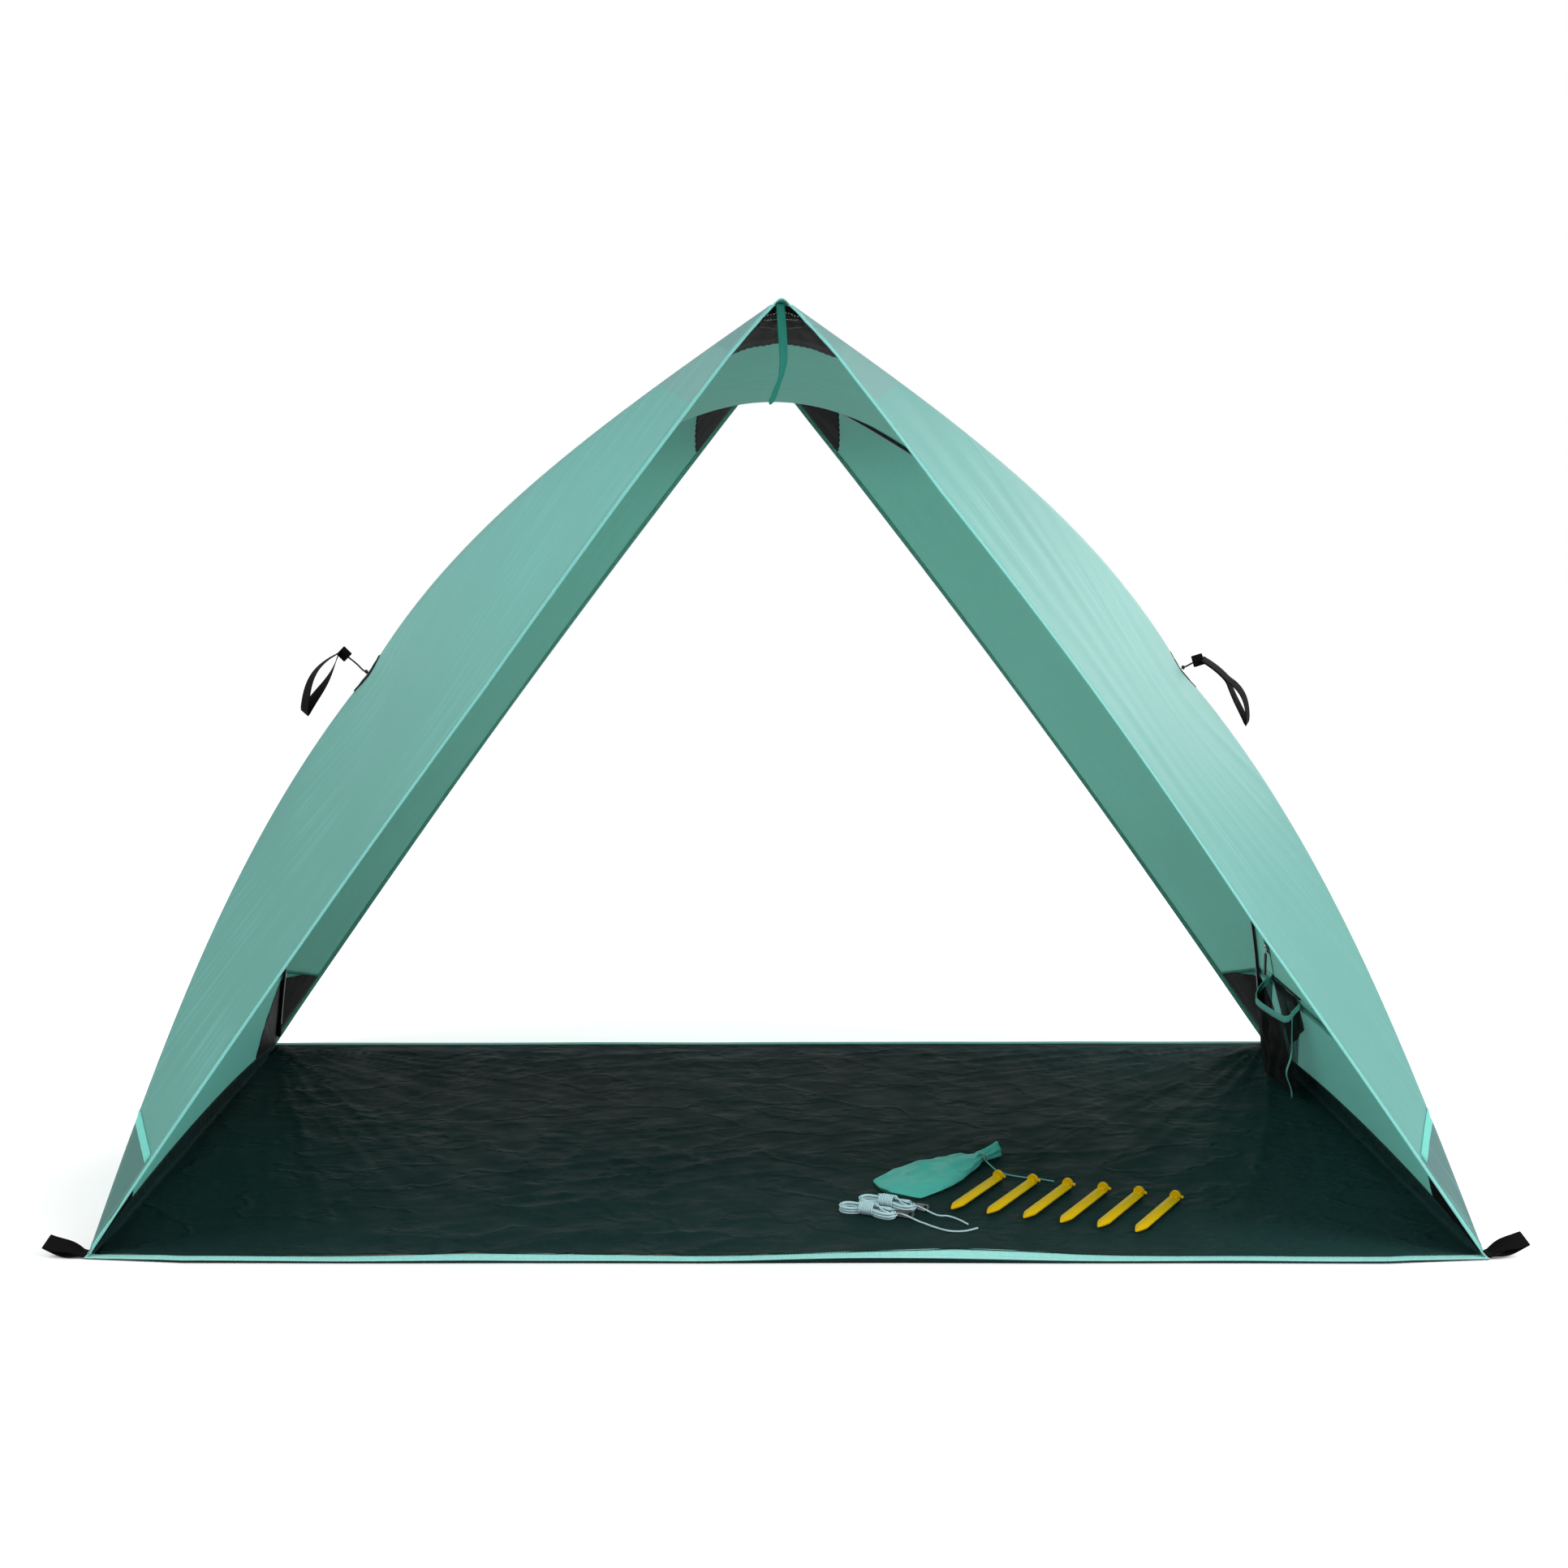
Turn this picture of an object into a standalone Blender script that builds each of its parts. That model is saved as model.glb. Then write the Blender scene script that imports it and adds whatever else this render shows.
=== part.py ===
"""Beach tent on four bowed poles: canopy, groundsheet, poles, pockets, pegs and guy lines."""

import math

import bmesh
import bpy
import numpy as np
from mathutils import Matrix, Vector

for old in list(bpy.data.objects):
    bpy.data.objects.remove(old, do_unlink=True)

# Driving sizes of the pitched tent, in metres
GROUND_WIDTH = 2.200
GROUND_DEPTH = 1.200
PEAK_HEIGHT = 1.466
POLE_BULGE = 0.238
EDGE_BOW = 0.017
GAP = 0.0003

# Cloth and tape
FABRIC_THICKNESS = 0.0010
SHEET_THICKNESS = 0.0015
PATCH_THICKNESS = 0.0010
TAPE_THICKNESS = 0.0008
TAPE_WIDTH = 0.018
BINDING_WIDTH = 0.014
BINDING_PROUD = 0.0005
HEM_WIDTH = 0.014
FOOT_INSET = 0.006
SEAM_RISE = 0.185
CORNER_PATCH_RISE = 0.190
CORNER_PATCH_RUN = 0.165
CORNER_PATCH_ROUND = 0.060
CORNER_PATCH_LIFT = 0.004
APEX_PATCH_DEPTH = 0.130
FRONT_PATCH_DROP = 0.100
REAR_PATCH_DROP = 0.210
APEX_PATCH_ROUND = 0.030

# Poles
POLE_RADIUS = 0.00425
FERRULE_WALL = 0.0008
FERRULE_LENGTH = 0.060
CUP_WALL = 0.0010
CUP_LENGTH = 0.040
CUP_START = 0.036
CUP_SEWN_IN = 0.0009

# Side tie-outs, webbing loops and the hanging strap
TIE_OUT_PATCH_HEIGHT = 0.080
TIE_OUT_PATCH_WIDTH = 0.060
TIE_OUT_CORD_RADIUS = 0.0016
TIE_OUT_TAB_REACH = 0.045
TIE_OUT_TAB_RISE = 0.016
SIDE_LOOP_LENGTH = 0.150
SIDE_LOOP_DROP_ANGLE = math.radians(52)
WEBBING_WIDTH = 0.025
WEBBING_THICKNESS = 0.0014
SIDE_LOOP_OPENING = 0.016
SIDE_LOOP_SEAT_SHARE = 0.35
CORNER_LOOP_SEAT_SHARE = 0.12
CORNER_LOOP_LIFT = 0.0008
CORNER_LOOP_LENGTH = 0.066
CORNER_LOOP_OPENING = 0.010
CORNER_LOOP_ANGLE = math.radians(32)
STRAP_LENGTH = 0.136
STRAP_WIDTH = 0.015
STRAP_THICKNESS = 0.0012
STRAP_SETBACK = 0.006
SHARP_ANGLE = math.radians(40)

# Mesh pocket and zip on the right wall
POCKET_WIDTH = 0.190
POCKET_HEIGHT = 0.190
POCKET_DEPTH = 0.052
RIM_SAG = 0.022
POCKET_FOOT_DEPTH = 0.026
POCKET_PAST_ZIP = 0.015
POCKET_WALL = 0.0008
POCKET_RISE = 0.205
RIM_HEIGHT = 0.014
RIM_THICKNESS = 0.0009
ZIP_POLE_CLEARANCE = 0.0186
ZIP_RISE = 0.262
ZIP_LENGTH = 0.098
ZIP_WIDTH = 0.006
ZIP_THICKNESS = 0.0016
SLIDER_LENGTH = 0.011
SLIDER_WALL = 0.0012
PULL_LENGTH = 0.056
PULL_WIDTH = 0.006
PULL_THICKNESS = 0.0022

# Pegs
PEG_COUNT = 6
PEG_LENGTH = 0.185
PEG_WIDTH = 0.0165
PEG_HEIGHT = 0.0100
PEG_WEB = 0.0028
PEG_FLANGE = 0.0022
PEG_FLANGE_FALL = 0.0030
PEG_POINT = 0.026
PEG_HEAD_RADIUS = 0.0110
PEG_HEAD_LENGTH = 0.0080
PEG_EAR = 0.0040
PEG_YAW = math.radians(56.6)
FIRST_PEG_TIP = Vector((0.287, -0.406, 0))
PEG_STEP = Vector((0.0570, -0.0198, 0))

# Peg pouch and its drawcord
POUCH_LENGTH = 0.217
POUCH_WIDTH = 0.120
POUCH_HEIGHT = 0.034
POUCH_NECK = 0.016
POUCH_FLARE_LENGTH = 0.046
POUCH_FLARE_WIDTH = 0.036
POUCH_BASE = Vector((0.2045, -0.3035, 0))
POUCH_YAW = math.radians(41.4)
DRAWCORD_RADIUS = 0.0014

# Guy lines, each wound into a hank with a free tail
GUY_RADIUS = 0.0015
HANK_RUN = 0.040
HANK_INNER_RADIUS = 0.0032
HANK_PITCH = 0.0044
HANK_WAIST_SHARE = 0.20
HANK_TURNS_PER_LAYER = 3
HANK_GAP = 0.00055
HANK_YAW = math.radians(-24.4)
HANK_A_CENTRE = Vector((0.1700, -0.3740, 0))
HANK_B_CENTRE = Vector((0.1400, -0.4090, 0))
TENSIONER_LENGTH = 0.042
TENSIONER_LARGE_RADIUS = 0.0072
TENSIONER_SMALL_RADIUS = 0.0045
TENSIONER_LARGE_HOLE_RADIUS = 0.0034
TENSIONER_SMALL_HOLE_RADIUS = 0.0020
TENSIONER_THICKNESS = 0.0040
TENSIONER_OFFSET = 0.009

# Points per turn and sides of the round pieces
WALL_CELLS = 16
TENSION_RATIO = 11.0
RELAX_SWEEPS = 2000
TUBE_SIDES = 8
CORD_SIDES = 6
LOOP_BEND_POINTS = 8
POCKET_COLUMNS = 8
POCKET_LEVELS = 3
POUCH_SIDES = 12
TENSIONER_END_POINTS = 4
RUN_POINTS = 4
BEND_POINTS = 6

# Levels and lines that the sizes above give
FOOT_Z = SHEET_THICKNESS + GAP + BINDING_PROUD
FOOT_X = GROUND_WIDTH / 2 - FOOT_INSET
SLOPE = math.hypot(FOOT_X, PEAK_HEIGHT - FOOT_Z)
SHEET_TOP = SHEET_THICKNESS + GAP
HALF_DEPTH = GROUND_DEPTH / 2
CUP_RADIUS = POLE_RADIUS + GAP + CUP_WALL
PATCH_DEPTH = GAP + PATCH_THICKNESS
END_DEPTH = PATCH_DEPTH - CUP_SEWN_IN + CUP_RADIUS
POLE_DEPTH = PATCH_DEPTH + GAP + POLE_RADIUS
ZIP_BACK = GROUND_DEPTH * (1 - (ZIP_RISE + ZIP_LENGTH) / SLOPE) - ZIP_POLE_CLEARANCE
POCKET_REAR = ZIP_BACK + POCKET_PAST_ZIP

# Colour, roughness and metallic value of each finish
TEAL = ((0.150, 0.470, 0.400), 0.75, 0.0)
TEAL_TAPE = ((0.170, 0.520, 0.450), 0.70, 0.0)
SHEET_CLOTH = ((0.013, 0.020, 0.018), 0.45, 0.0)
BLACK_CLOTH = ((0.010, 0.011, 0.011), 0.85, 0.0)
BLACK_PLASTIC = ((0.012, 0.012, 0.013), 0.40, 0.0)
POLE_GLASS = ((0.014, 0.014, 0.015), 0.35, 0.0)
YELLOW_PLASTIC = ((0.600, 0.440, 0.004), 0.40, 0.0)
GUY_CORD = ((0.520, 0.700, 0.740), 0.75, 0.0)
SLIDER_METAL = ((0.450, 0.450, 0.460), 0.30, 1.0)
MESH_CLOTH = ((0.012, 0.014, 0.014), 0.90, 0.0)


def finish(name, look):
    colour, roughness, metallic = look
    material = bpy.data.materials.new(name + "_finish")
    material.use_nodes = True
    shader = material.node_tree.nodes["Principled BSDF"]
    shader.inputs["Base Color"].default_value = (*colour, 1.0)
    shader.inputs["Roughness"].default_value = roughness
    shader.inputs["Metallic"].default_value = metallic
    return material


def add_mesh(name, shape, look, pivot=None, smooth=False):
    """Makes one named object of a bmesh, with its origin at the pivot."""
    mesh = bpy.data.meshes.new(name)
    if pivot is not None:
        bmesh.ops.translate(shape, verts=shape.verts, vec=-pivot)
    bmesh.ops.recalc_face_normals(shape, faces=shape.faces)
    shape.to_mesh(mesh)
    shape.free()
    if smooth:
        mesh.shade_smooth()
        mesh.set_sharp_from_angle(angle=SHARP_ANGLE)
    piece = bpy.data.objects.new(name, mesh)
    piece.data.materials.append(finish(name, look))
    if pivot is not None:
        piece.location = pivot
    bpy.context.scene.collection.objects.link(piece)
    return piece


# The relaxed canopy


def straight_wall(side, depth_share, rise_share):
    x = side * FOOT_X * (1 - rise_share)
    y = -HALF_DEPTH + GROUND_DEPTH * depth_share
    z = FOOT_Z + (PEAK_HEIGHT - FOOT_Z) * rise_share
    return np.array([x, y, z])


def wall_out(side):
    return np.array([side * (PEAK_HEIGHT - FOOT_Z), 0, FOOT_X]) / SLOPE


def side_and_row(column):
    """The side, -1 left or 1 right, and the row above the ground, of a column counted from the left foot."""
    if column <= WALL_CELLS:
        return -1, column
    return 1, 2 * WALL_CELLS - column


def is_pole_line(station, row):
    return row in (station, WALL_CELLS - station)


def relaxed_wall():
    """Points of the canopy, front to rear and left foot to right foot, pulled taut over the poles."""
    points = np.zeros((WALL_CELLS + 1, 2 * WALL_CELLS + 1, 3))
    held = np.zeros(points.shape[:2], bool)
    for station in range(WALL_CELLS + 1):
        for column in range(2 * WALL_CELLS + 1):
            side, row = side_and_row(column)
            rise_share = row / WALL_CELLS
            arch = math.sin(math.pi * rise_share)
            bow = 0
            if is_pole_line(station, row):
                bow = POLE_BULGE * arch
            elif station in (0, WALL_CELLS):
                bow = EDGE_BOW * arch
            points[station, column] = straight_wall(side, station / WALL_CELLS, rise_share)
            points[station, column] += wall_out(side) * bow
            held[station, column] = is_pole_line(station, row) or station in (0, WALL_CELLS) or row == 0
    for _ in range(RELAX_SWEEPS):
        along = points[:-2, 1:-1] + points[2:, 1:-1]
        across = points[1:-1, :-2] + points[1:-1, 2:]
        pulled = points.copy()
        pulled[1:-1, 1:-1] = (TENSION_RATIO * along + across) / (2 * TENSION_RATIO + 2)
        points[~held] = pulled[~held]
    return points


WALL = relaxed_wall()


def is_rising(station, column):
    """True where a cell is split from its low front corner to its high rear one, so that creases follow the poles."""
    row = column if column < WALL_CELLS else 2 * WALL_CELLS - 1 - column
    middle = (WALL_CELLS - 1) / 2
    return (station - middle) * (row - middle) > 0


def cell_triangles(station, column):
    """The two triangles of a cell as grid places, seen from outside in order."""
    near_left = (station, column)
    near_right = (station, column + 1)
    far_right = (station + 1, column + 1)
    far_left = (station + 1, column)
    splits_up = is_rising(station, column) == (column < WALL_CELLS)
    if splits_up:
        return (near_left, near_right, far_right), (near_left, far_right, far_left)
    return (near_left, near_right, far_left), (near_right, far_right, far_left)


def facet_normal(corners):
    a, b, c = (WALL[place] for place in corners)
    normal = np.cross(b - a, c - a)
    return normal / np.linalg.norm(normal)


def mitre_field():
    """At each grid point, the step that moves every facet round it outwards by at least one."""
    facets = {}
    for station in range(WALL_CELLS):
        for column in range(2 * WALL_CELLS):
            for corners in cell_triangles(station, column):
                for place in corners:
                    facets.setdefault(place, []).append(facet_normal(corners))
    field = np.zeros(WALL.shape)
    for place, normals in facets.items():
        mean = np.sum(normals, axis=0)
        mean /= np.linalg.norm(mean)
        field[place] = mean / min(float(mean @ normal) for normal in normals)
    return field


MITRE = mitre_field()


def flat_point(place):
    """The place of a grid point on the cloth laid flat: across from the ridge, and back from the front edge."""
    station, column = place
    return (column / WALL_CELLS - 1) * SLOPE, station / WALL_CELLS * GROUND_DEPTH


def on_wall(across, back, out=0.0):
    """The point of the wall at a place of the flat cloth, moved outwards."""
    column_share = (across / SLOPE + 1) * WALL_CELLS
    station_share = back / GROUND_DEPTH * WALL_CELLS
    column = min(max(int(column_share), 0), 2 * WALL_CELLS - 1)
    station = min(max(int(station_share), 0), WALL_CELLS - 1)
    x = column_share - column
    y = station_share - station
    first, second = cell_triangles(station, column)
    if is_rising(station, column) == (column < WALL_CELLS):
        corners, weights = (first, (1 - x, x - y, y)) if x >= y else (second, (1 - y, x, y - x))
    elif x + y <= 1:
        corners, weights = first, (1 - x - y, x, y)
    else:
        corners, weights = second, (1 - y, x + y - 1, 1 - x)
    point = sum(weight * (WALL[place] + out * MITRE[place]) for place, weight in zip(corners, weights))
    return Vector(point)


def flat_cloth():
    shape = bmesh.new()
    corners = {}
    for station in range(WALL_CELLS + 1):
        for column in range(2 * WALL_CELLS + 1):
            corners[station, column] = shape.verts.new((*flat_point((station, column)), 0))
    for station in range(WALL_CELLS):
        for column in range(2 * WALL_CELLS):
            for triangle in cell_triangles(station, column):
                shape.faces.new([corners[place] for place in triangle])
    return shape


def keep_below(shape, across, back, limit):
    """Cuts the flat cloth where across and back, each times its factor, add up to more than the limit."""
    direction = Vector((across, back, 0))
    start = direction * (limit / direction.length_squared)
    everything = shape.verts[:] + shape.edges[:] + shape.faces[:]
    bmesh.ops.bisect_plane(shape, geom=everything, plane_co=start, plane_no=direction, clear_outer=True)


def cloth_solid(cuts, inner, outer):
    """A layer of the canopy between two distances out of the wall, cut to its outline on the flat cloth."""
    flat = flat_cloth()
    for across, back, limit in cuts:
        keep_below(flat, across, back, limit)
    solid = bmesh.new()
    low = {corner: solid.verts.new(on_wall(*corner.co.xy, inner)) for corner in flat.verts}
    high = {corner: solid.verts.new(on_wall(*corner.co.xy, outer)) for corner in flat.verts}
    for face in flat.faces:
        solid.faces.new([high[corner] for corner in face.verts])
        solid.faces.new([low[corner] for corner in reversed(face.verts)])
    for edge in flat.edges:
        if len(edge.link_faces) == 1:
            loop = edge.link_loops[0]
            start, end = loop.vert, loop.link_loop_next.vert
            solid.faces.new((low[start], low[end], high[end], high[start]))
    flat.free()
    return solid


def add_canopy():
    between = [(0, -1, -BINDING_WIDTH - GAP), (0, 1, GROUND_DEPTH - BINDING_WIDTH - GAP)]
    seam = SLOPE - SEAM_RISE
    for side, word in ((-1, "left"), (1, "right")):
        roof = between + [(-side, 0, -GAP / 2), (side, 0, seam - GAP / 2)]
        skirt = between + [(-side, 0, -seam - GAP / 2)]
        add_mesh("canopy_" + word, cloth_solid(roof, 0, FABRIC_THICKNESS), TEAL)
        add_mesh("skirt_" + word, cloth_solid(skirt, 0, FABRIC_THICKNESS), TEAL)
        low = FABRIC_THICKNESS + GAP
        tape = between + [(side, 0, seam + TAPE_WIDTH / 2), (-side, 0, TAPE_WIDTH / 2 - seam)]
        add_mesh("seam_tape_" + word, cloth_solid(tape, low, low + TAPE_THICKNESS), TEAL_TAPE)


def add_edge_bindings():
    front = [(0, 1, BINDING_WIDTH)]
    rear = [(0, -1, BINDING_WIDTH - GROUND_DEPTH)]
    for word, cuts in (("front", front), ("rear", rear)):
        solid = cloth_solid(cuts, -BINDING_PROUD, FABRIC_THICKNESS + BINDING_PROUD)
        add_mesh("edge_binding_" + word, solid, TEAL_TAPE)


def from_end(front, factor, distance):
    """A cut across the cloth at a distance from the front edge, or from the rear one."""
    if front:
        return 0, factor, factor * distance
    return 0, -factor, factor * (distance - GROUND_DEPTH)


def corner_patch_cuts(side, front):
    foot = SLOPE - CORNER_PATCH_RISE
    cuts = [(-side, 0, -foot), (side, 0, SLOPE - CORNER_PATCH_LIFT)]
    cuts += [from_end(front, 1, CORNER_PATCH_RUN), from_end(front, -1, BINDING_WIDTH + GAP)]
    slant = CORNER_PATCH_RUN + CORNER_PATCH_RISE - CORNER_PATCH_ROUND - SLOPE
    if front:
        return cuts + [(-side, 1, slant)]
    return cuts + [(-side, -1, slant - GROUND_DEPTH)]


def apex_patch_cuts(front, drop):
    cuts = [(1, 0, drop), (-1, 0, drop)]
    cuts += [from_end(front, 1, APEX_PATCH_DEPTH), from_end(front, -1, BINDING_WIDTH + GAP)]
    slant = drop + APEX_PATCH_DEPTH - APEX_PATCH_ROUND
    for side in (-1, 1):
        cuts.append((side, 1, slant) if front else (side, -1, slant - GROUND_DEPTH))
    return cuts


# The floor


def box_shape(low, high):
    shape = bmesh.new()
    size = Vector(high) - Vector(low)
    centre = (Vector(high) + Vector(low)) / 2
    place = Matrix.Translation(centre) @ Matrix.Diagonal((*size, 1))
    bmesh.ops.create_cube(shape, size=1, matrix=place)
    return shape


def add_groundsheet():
    half = GROUND_WIDTH / 2
    edge = HALF_DEPTH - HEM_WIDTH
    top = SHEET_THICKNESS
    add_mesh("groundsheet", box_shape((-half, -edge + GAP, 0), (half, edge - GAP, top)), SHEET_CLOTH)
    add_mesh("ground_hem_front", box_shape((-half, -HALF_DEPTH, 0), (half, -edge, top)), TEAL_TAPE)
    add_mesh("ground_hem_rear", box_shape((-half, edge, 0), (half, HALF_DEPTH, top)), TEAL_TAPE)


# Tubes


def add_ring(shape, centre, first, second, radius, sides):
    corners = []
    for index in range(sides):
        angle = 2 * math.pi * index / sides
        corners.append(shape.verts.new(centre + radius * (math.cos(angle) * first + math.sin(angle) * second)))
    return corners


def join_rings(shape, start, end):
    for index in range(len(start)):
        after = (index + 1) % len(start)
        shape.faces.new((start[index], start[after], end[after], end[index]))


def frames_along(path):
    """Two directions square to the path at each of its points, carried along without twist."""
    frames = []
    first = None
    for index, point in enumerate(path):
        before = path[max(index - 1, 0)]
        after = path[min(index + 1, len(path) - 1)]
        heading = (after - before).normalized()
        if first is None:
            first = heading.orthogonal().normalized()
        first = (first - heading * first.dot(heading)).normalized()
        frames.append((first.copy(), heading.cross(first).normalized()))
    return frames


def add_tube(shape, path, radius, sides):
    """A closed tube along a path."""
    rings = [add_ring(shape, point, *frame, radius, sides) for point, frame in zip(path, frames_along(path))]
    for start, end in zip(rings, rings[1:]):
        join_rings(shape, start, end)
    shape.faces.new(reversed(rings[0]))
    shape.faces.new(rings[-1])


def add_turned(shape, start, heading, profile, sides=TUBE_SIDES):
    """A closed turned piece. Its profile lists how far along the axis and how far out each ring lies."""
    first = heading.orthogonal().normalized()
    second = heading.cross(first)
    rings = [add_ring(shape, start + heading * along, first, second, out, sides) for along, out in profile]
    for low, high in zip(rings, rings[1:]):
        join_rings(shape, low, high)
    shape.faces.new(reversed(rings[0]))
    shape.faces.new(rings[-1])


def path_length(path):
    return sum((after - before).length for before, after in zip(path, path[1:]))


# Poles


def pole_depth(row, dips):
    """How far a pole's centre lies inside the wall: deeper in its end cups, and where it passes under another."""
    if row <= 1 or row >= WALL_CELLS - 1:
        return END_DEPTH
    away = abs(row - WALL_CELLS // 2)
    if dips and away < 2:
        return POLE_DEPTH + (2 * POLE_RADIUS + GAP) * (1 - away / 2)
    return POLE_DEPTH


def pole_path(side, front_foot):
    path = []
    for row in range(WALL_CELLS + 1):
        station = row if front_foot else WALL_CELLS - row
        column = row if side < 0 else 2 * WALL_CELLS - row
        place = (station, column)
        path.append(Vector(WALL[place] - pole_depth(row, not front_foot) * MITRE[place]))
    return path


POLES = {
    "front_left": pole_path(-1, True),
    "front_right": pole_path(1, True),
    "rear_left": pole_path(-1, False),
    "rear_right": pole_path(1, False),
}


def path_frame(path, distance):
    """The point at a distance along a pole's path, and two directions square to the path there."""
    travelled = 0.0
    for index, (before, after) in enumerate(zip(path, path[1:])):
        step = (after - before).length
        if distance <= travelled + step or index == len(path) - 2:
            break
        travelled += step
    heading = (after - before).normalized()
    at_end = abs(travelled + step - distance) < GAP and index < len(path) - 2
    if at_end:
        heading = (heading + (path[index + 2] - after).normalized()).normalized()
    first = (Vector((0, 1, 0)) - heading * heading.y).normalized()
    return before.lerp(after, (distance - travelled) / step), first, heading.cross(first)


def ring_places(path, start, end):
    """Where a tube needs rings between two distances: at both, and at the path's own points between them."""
    if start == end:
        return [start]
    places = []
    travelled = 0.0
    for before, after in zip(path, path[1:]):
        travelled += (after - before).length
        if min(start, end) + GAP < travelled < max(start, end) - GAP:
            places.append(travelled)
    return [start, *(places if start < end else reversed(places)), end]


def add_stepped_tube(shape, path, legs):
    """A closed tube along a path. Each leg runs at one radius between two distances, and a bore's leg runs back."""
    rings = []
    for start, end, radius in legs:
        for distance in ring_places(path, start, end):
            rings.append(add_ring(shape, *path_frame(path, distance), radius, TUBE_SIDES))
    for before, after in zip(rings, rings[1:]):
        join_rings(shape, before, after)
    shape.faces.new(reversed(rings[0]))
    shape.faces.new(rings[-1])


def add_poles():
    """Each pole in three sections. The middle one has a ferrule at each end, which the others plug into."""
    start = CUP_START + CUP_WALL + GAP
    bore = POLE_RADIUS + GAP
    sleeve = bore + FERRULE_WALL
    half = FERRULE_LENGTH / 2
    for word, path in POLES.items():
        length = path_length(path)
        section = (length - 2 * start) / 3
        low = start + section
        high = low + section
        foot = [(start, start, POLE_RADIUS / 2), (start + POLE_RADIUS / 2, low - GAP, POLE_RADIUS)]
        middle = [(low, low - half, bore), (low - half, low + half, sleeve), (low + half, high - half, POLE_RADIUS)]
        middle += [(high - half, high + half, sleeve), (high + half, high, bore)]
        end = length - start
        head = [(high + GAP, end - POLE_RADIUS / 2, POLE_RADIUS), (end, end, POLE_RADIUS / 2)]
        for part, legs in (("foot", foot), ("middle", middle), ("head", head)):
            shape = bmesh.new()
            add_stepped_tube(shape, path, legs)
            add_mesh(f"pole_{word}_{part}", shape, POLE_GLASS, smooth=True)


# Reinforcing patches with the pockets that hold the poles


def cup_shape(path):
    """A pole pocket: a cup with a closed end round the start of a pole's path."""
    heading = (path[1] - path[0]).normalized()
    start = path[0] + heading * CUP_START
    bore = POLE_RADIUS + GAP
    profile = [(0, CUP_RADIUS - CUP_WALL), (CUP_WALL, CUP_RADIUS), (CUP_LENGTH, CUP_RADIUS), (CUP_LENGTH, bore)]
    shape = bmesh.new()
    add_turned(shape, start, heading, profile + [(CUP_WALL, bore)])
    bmesh.ops.recalc_face_normals(shape, faces=shape.faces)
    return shape


def joined_shape(shapes, name):
    """Unites closed shapes into one."""
    guides = []
    for index, shape in enumerate(shapes):
        mesh = bpy.data.meshes.new(f"{name}_guide_{index}")
        shape.to_mesh(mesh)
        shape.free()
        guide = bpy.data.objects.new(mesh.name, mesh)
        guide.hide_render = True
        guide.display_type = "WIRE"
        bpy.context.scene.collection.objects.link(guide)
        guides.append(guide)
    for guide in guides[1:]:
        union = guides[0].modifiers.new(guide.name, "BOOLEAN")
        union.operation = "UNION"
        union.solver = "EXACT"
        union.object = guide
    graph = bpy.context.evaluated_depsgraph_get()
    mesh = bpy.data.meshes.new_from_object(guides[0].evaluated_get(graph))
    for guide in guides:
        bpy.data.objects.remove(guide, do_unlink=True)
    whole = bmesh.new()
    whole.from_mesh(mesh)
    return whole


def add_patches():
    for front, end, far_end in ((True, "front", "rear"), (False, "rear", "front")):
        for side, word in ((-1, "left"), (1, "right")):
            name = f"corner_patch_{end}_{word}"
            patch = cloth_solid(corner_patch_cuts(side, front), -PATCH_DEPTH, -GAP)
            cup = cup_shape(POLES[f"{end}_{word}"])
            add_mesh(name, joined_shape([patch, cup], name), BLACK_CLOTH)
        name = "apex_patch_" + end
        drop = FRONT_PATCH_DROP if front else REAR_PATCH_DROP
        patch = cloth_solid(apex_patch_cuts(front, drop), -PATCH_DEPTH, -GAP)
        cups = [cup_shape(POLES[f"{far_end}_{word}"][::-1]) for word in ("left", "right")]
        add_mesh(name, joined_shape([patch, *cups], name), BLACK_CLOTH)


# Webbing


def loop_outline(length, opening, thickness, seat_share):
    """The outer and inner outline of a webbing loop lying along X from its seat, closed at both ends."""
    outer = []
    inner = []
    end_radius = opening / 2
    seat_radius = end_radius * seat_share
    far = length - end_radius - thickness
    for index in range(LOOP_BEND_POINTS + 1):
        angle = math.pi / 2 - math.pi * index / LOOP_BEND_POINTS
        direction = (math.cos(angle), math.sin(angle))
        inner.append((far + end_radius * direction[0], end_radius * direction[1]))
        outer.append((far + (end_radius + thickness) * direction[0], (end_radius + thickness) * direction[1]))
    near = thickness
    inner += [(near, -seat_radius), (near, seat_radius)]
    outer += [(0, -seat_radius - thickness), (0, seat_radius + thickness)]
    return outer, inner


def add_band(shape, outer, inner, width, place):
    """A closed band: the space between two outlines in local X and Y, as deep as its width along local Z."""
    rings = []
    for outline in (outer, inner):
        for level in (-width / 2, width / 2):
            rings.append([shape.verts.new(place @ Vector((x, y, level))) for x, y in outline])
    outer_low, outer_high, inner_low, inner_high = rings
    join_rings(shape, outer_low, outer_high)
    join_rings(shape, outer_high, inner_high)
    join_rings(shape, inner_high, inner_low)
    join_rings(shape, inner_low, outer_low)


def frame_at(point, x_axis, y_axis):
    z_axis = x_axis.cross(y_axis)
    turn = Matrix((x_axis, y_axis, z_axis)).transposed().to_4x4()
    return Matrix.Translation(point) @ turn


TIE_OUT_OUT = FABRIC_THICKNESS + GAP + PATCH_THICKNESS


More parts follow.
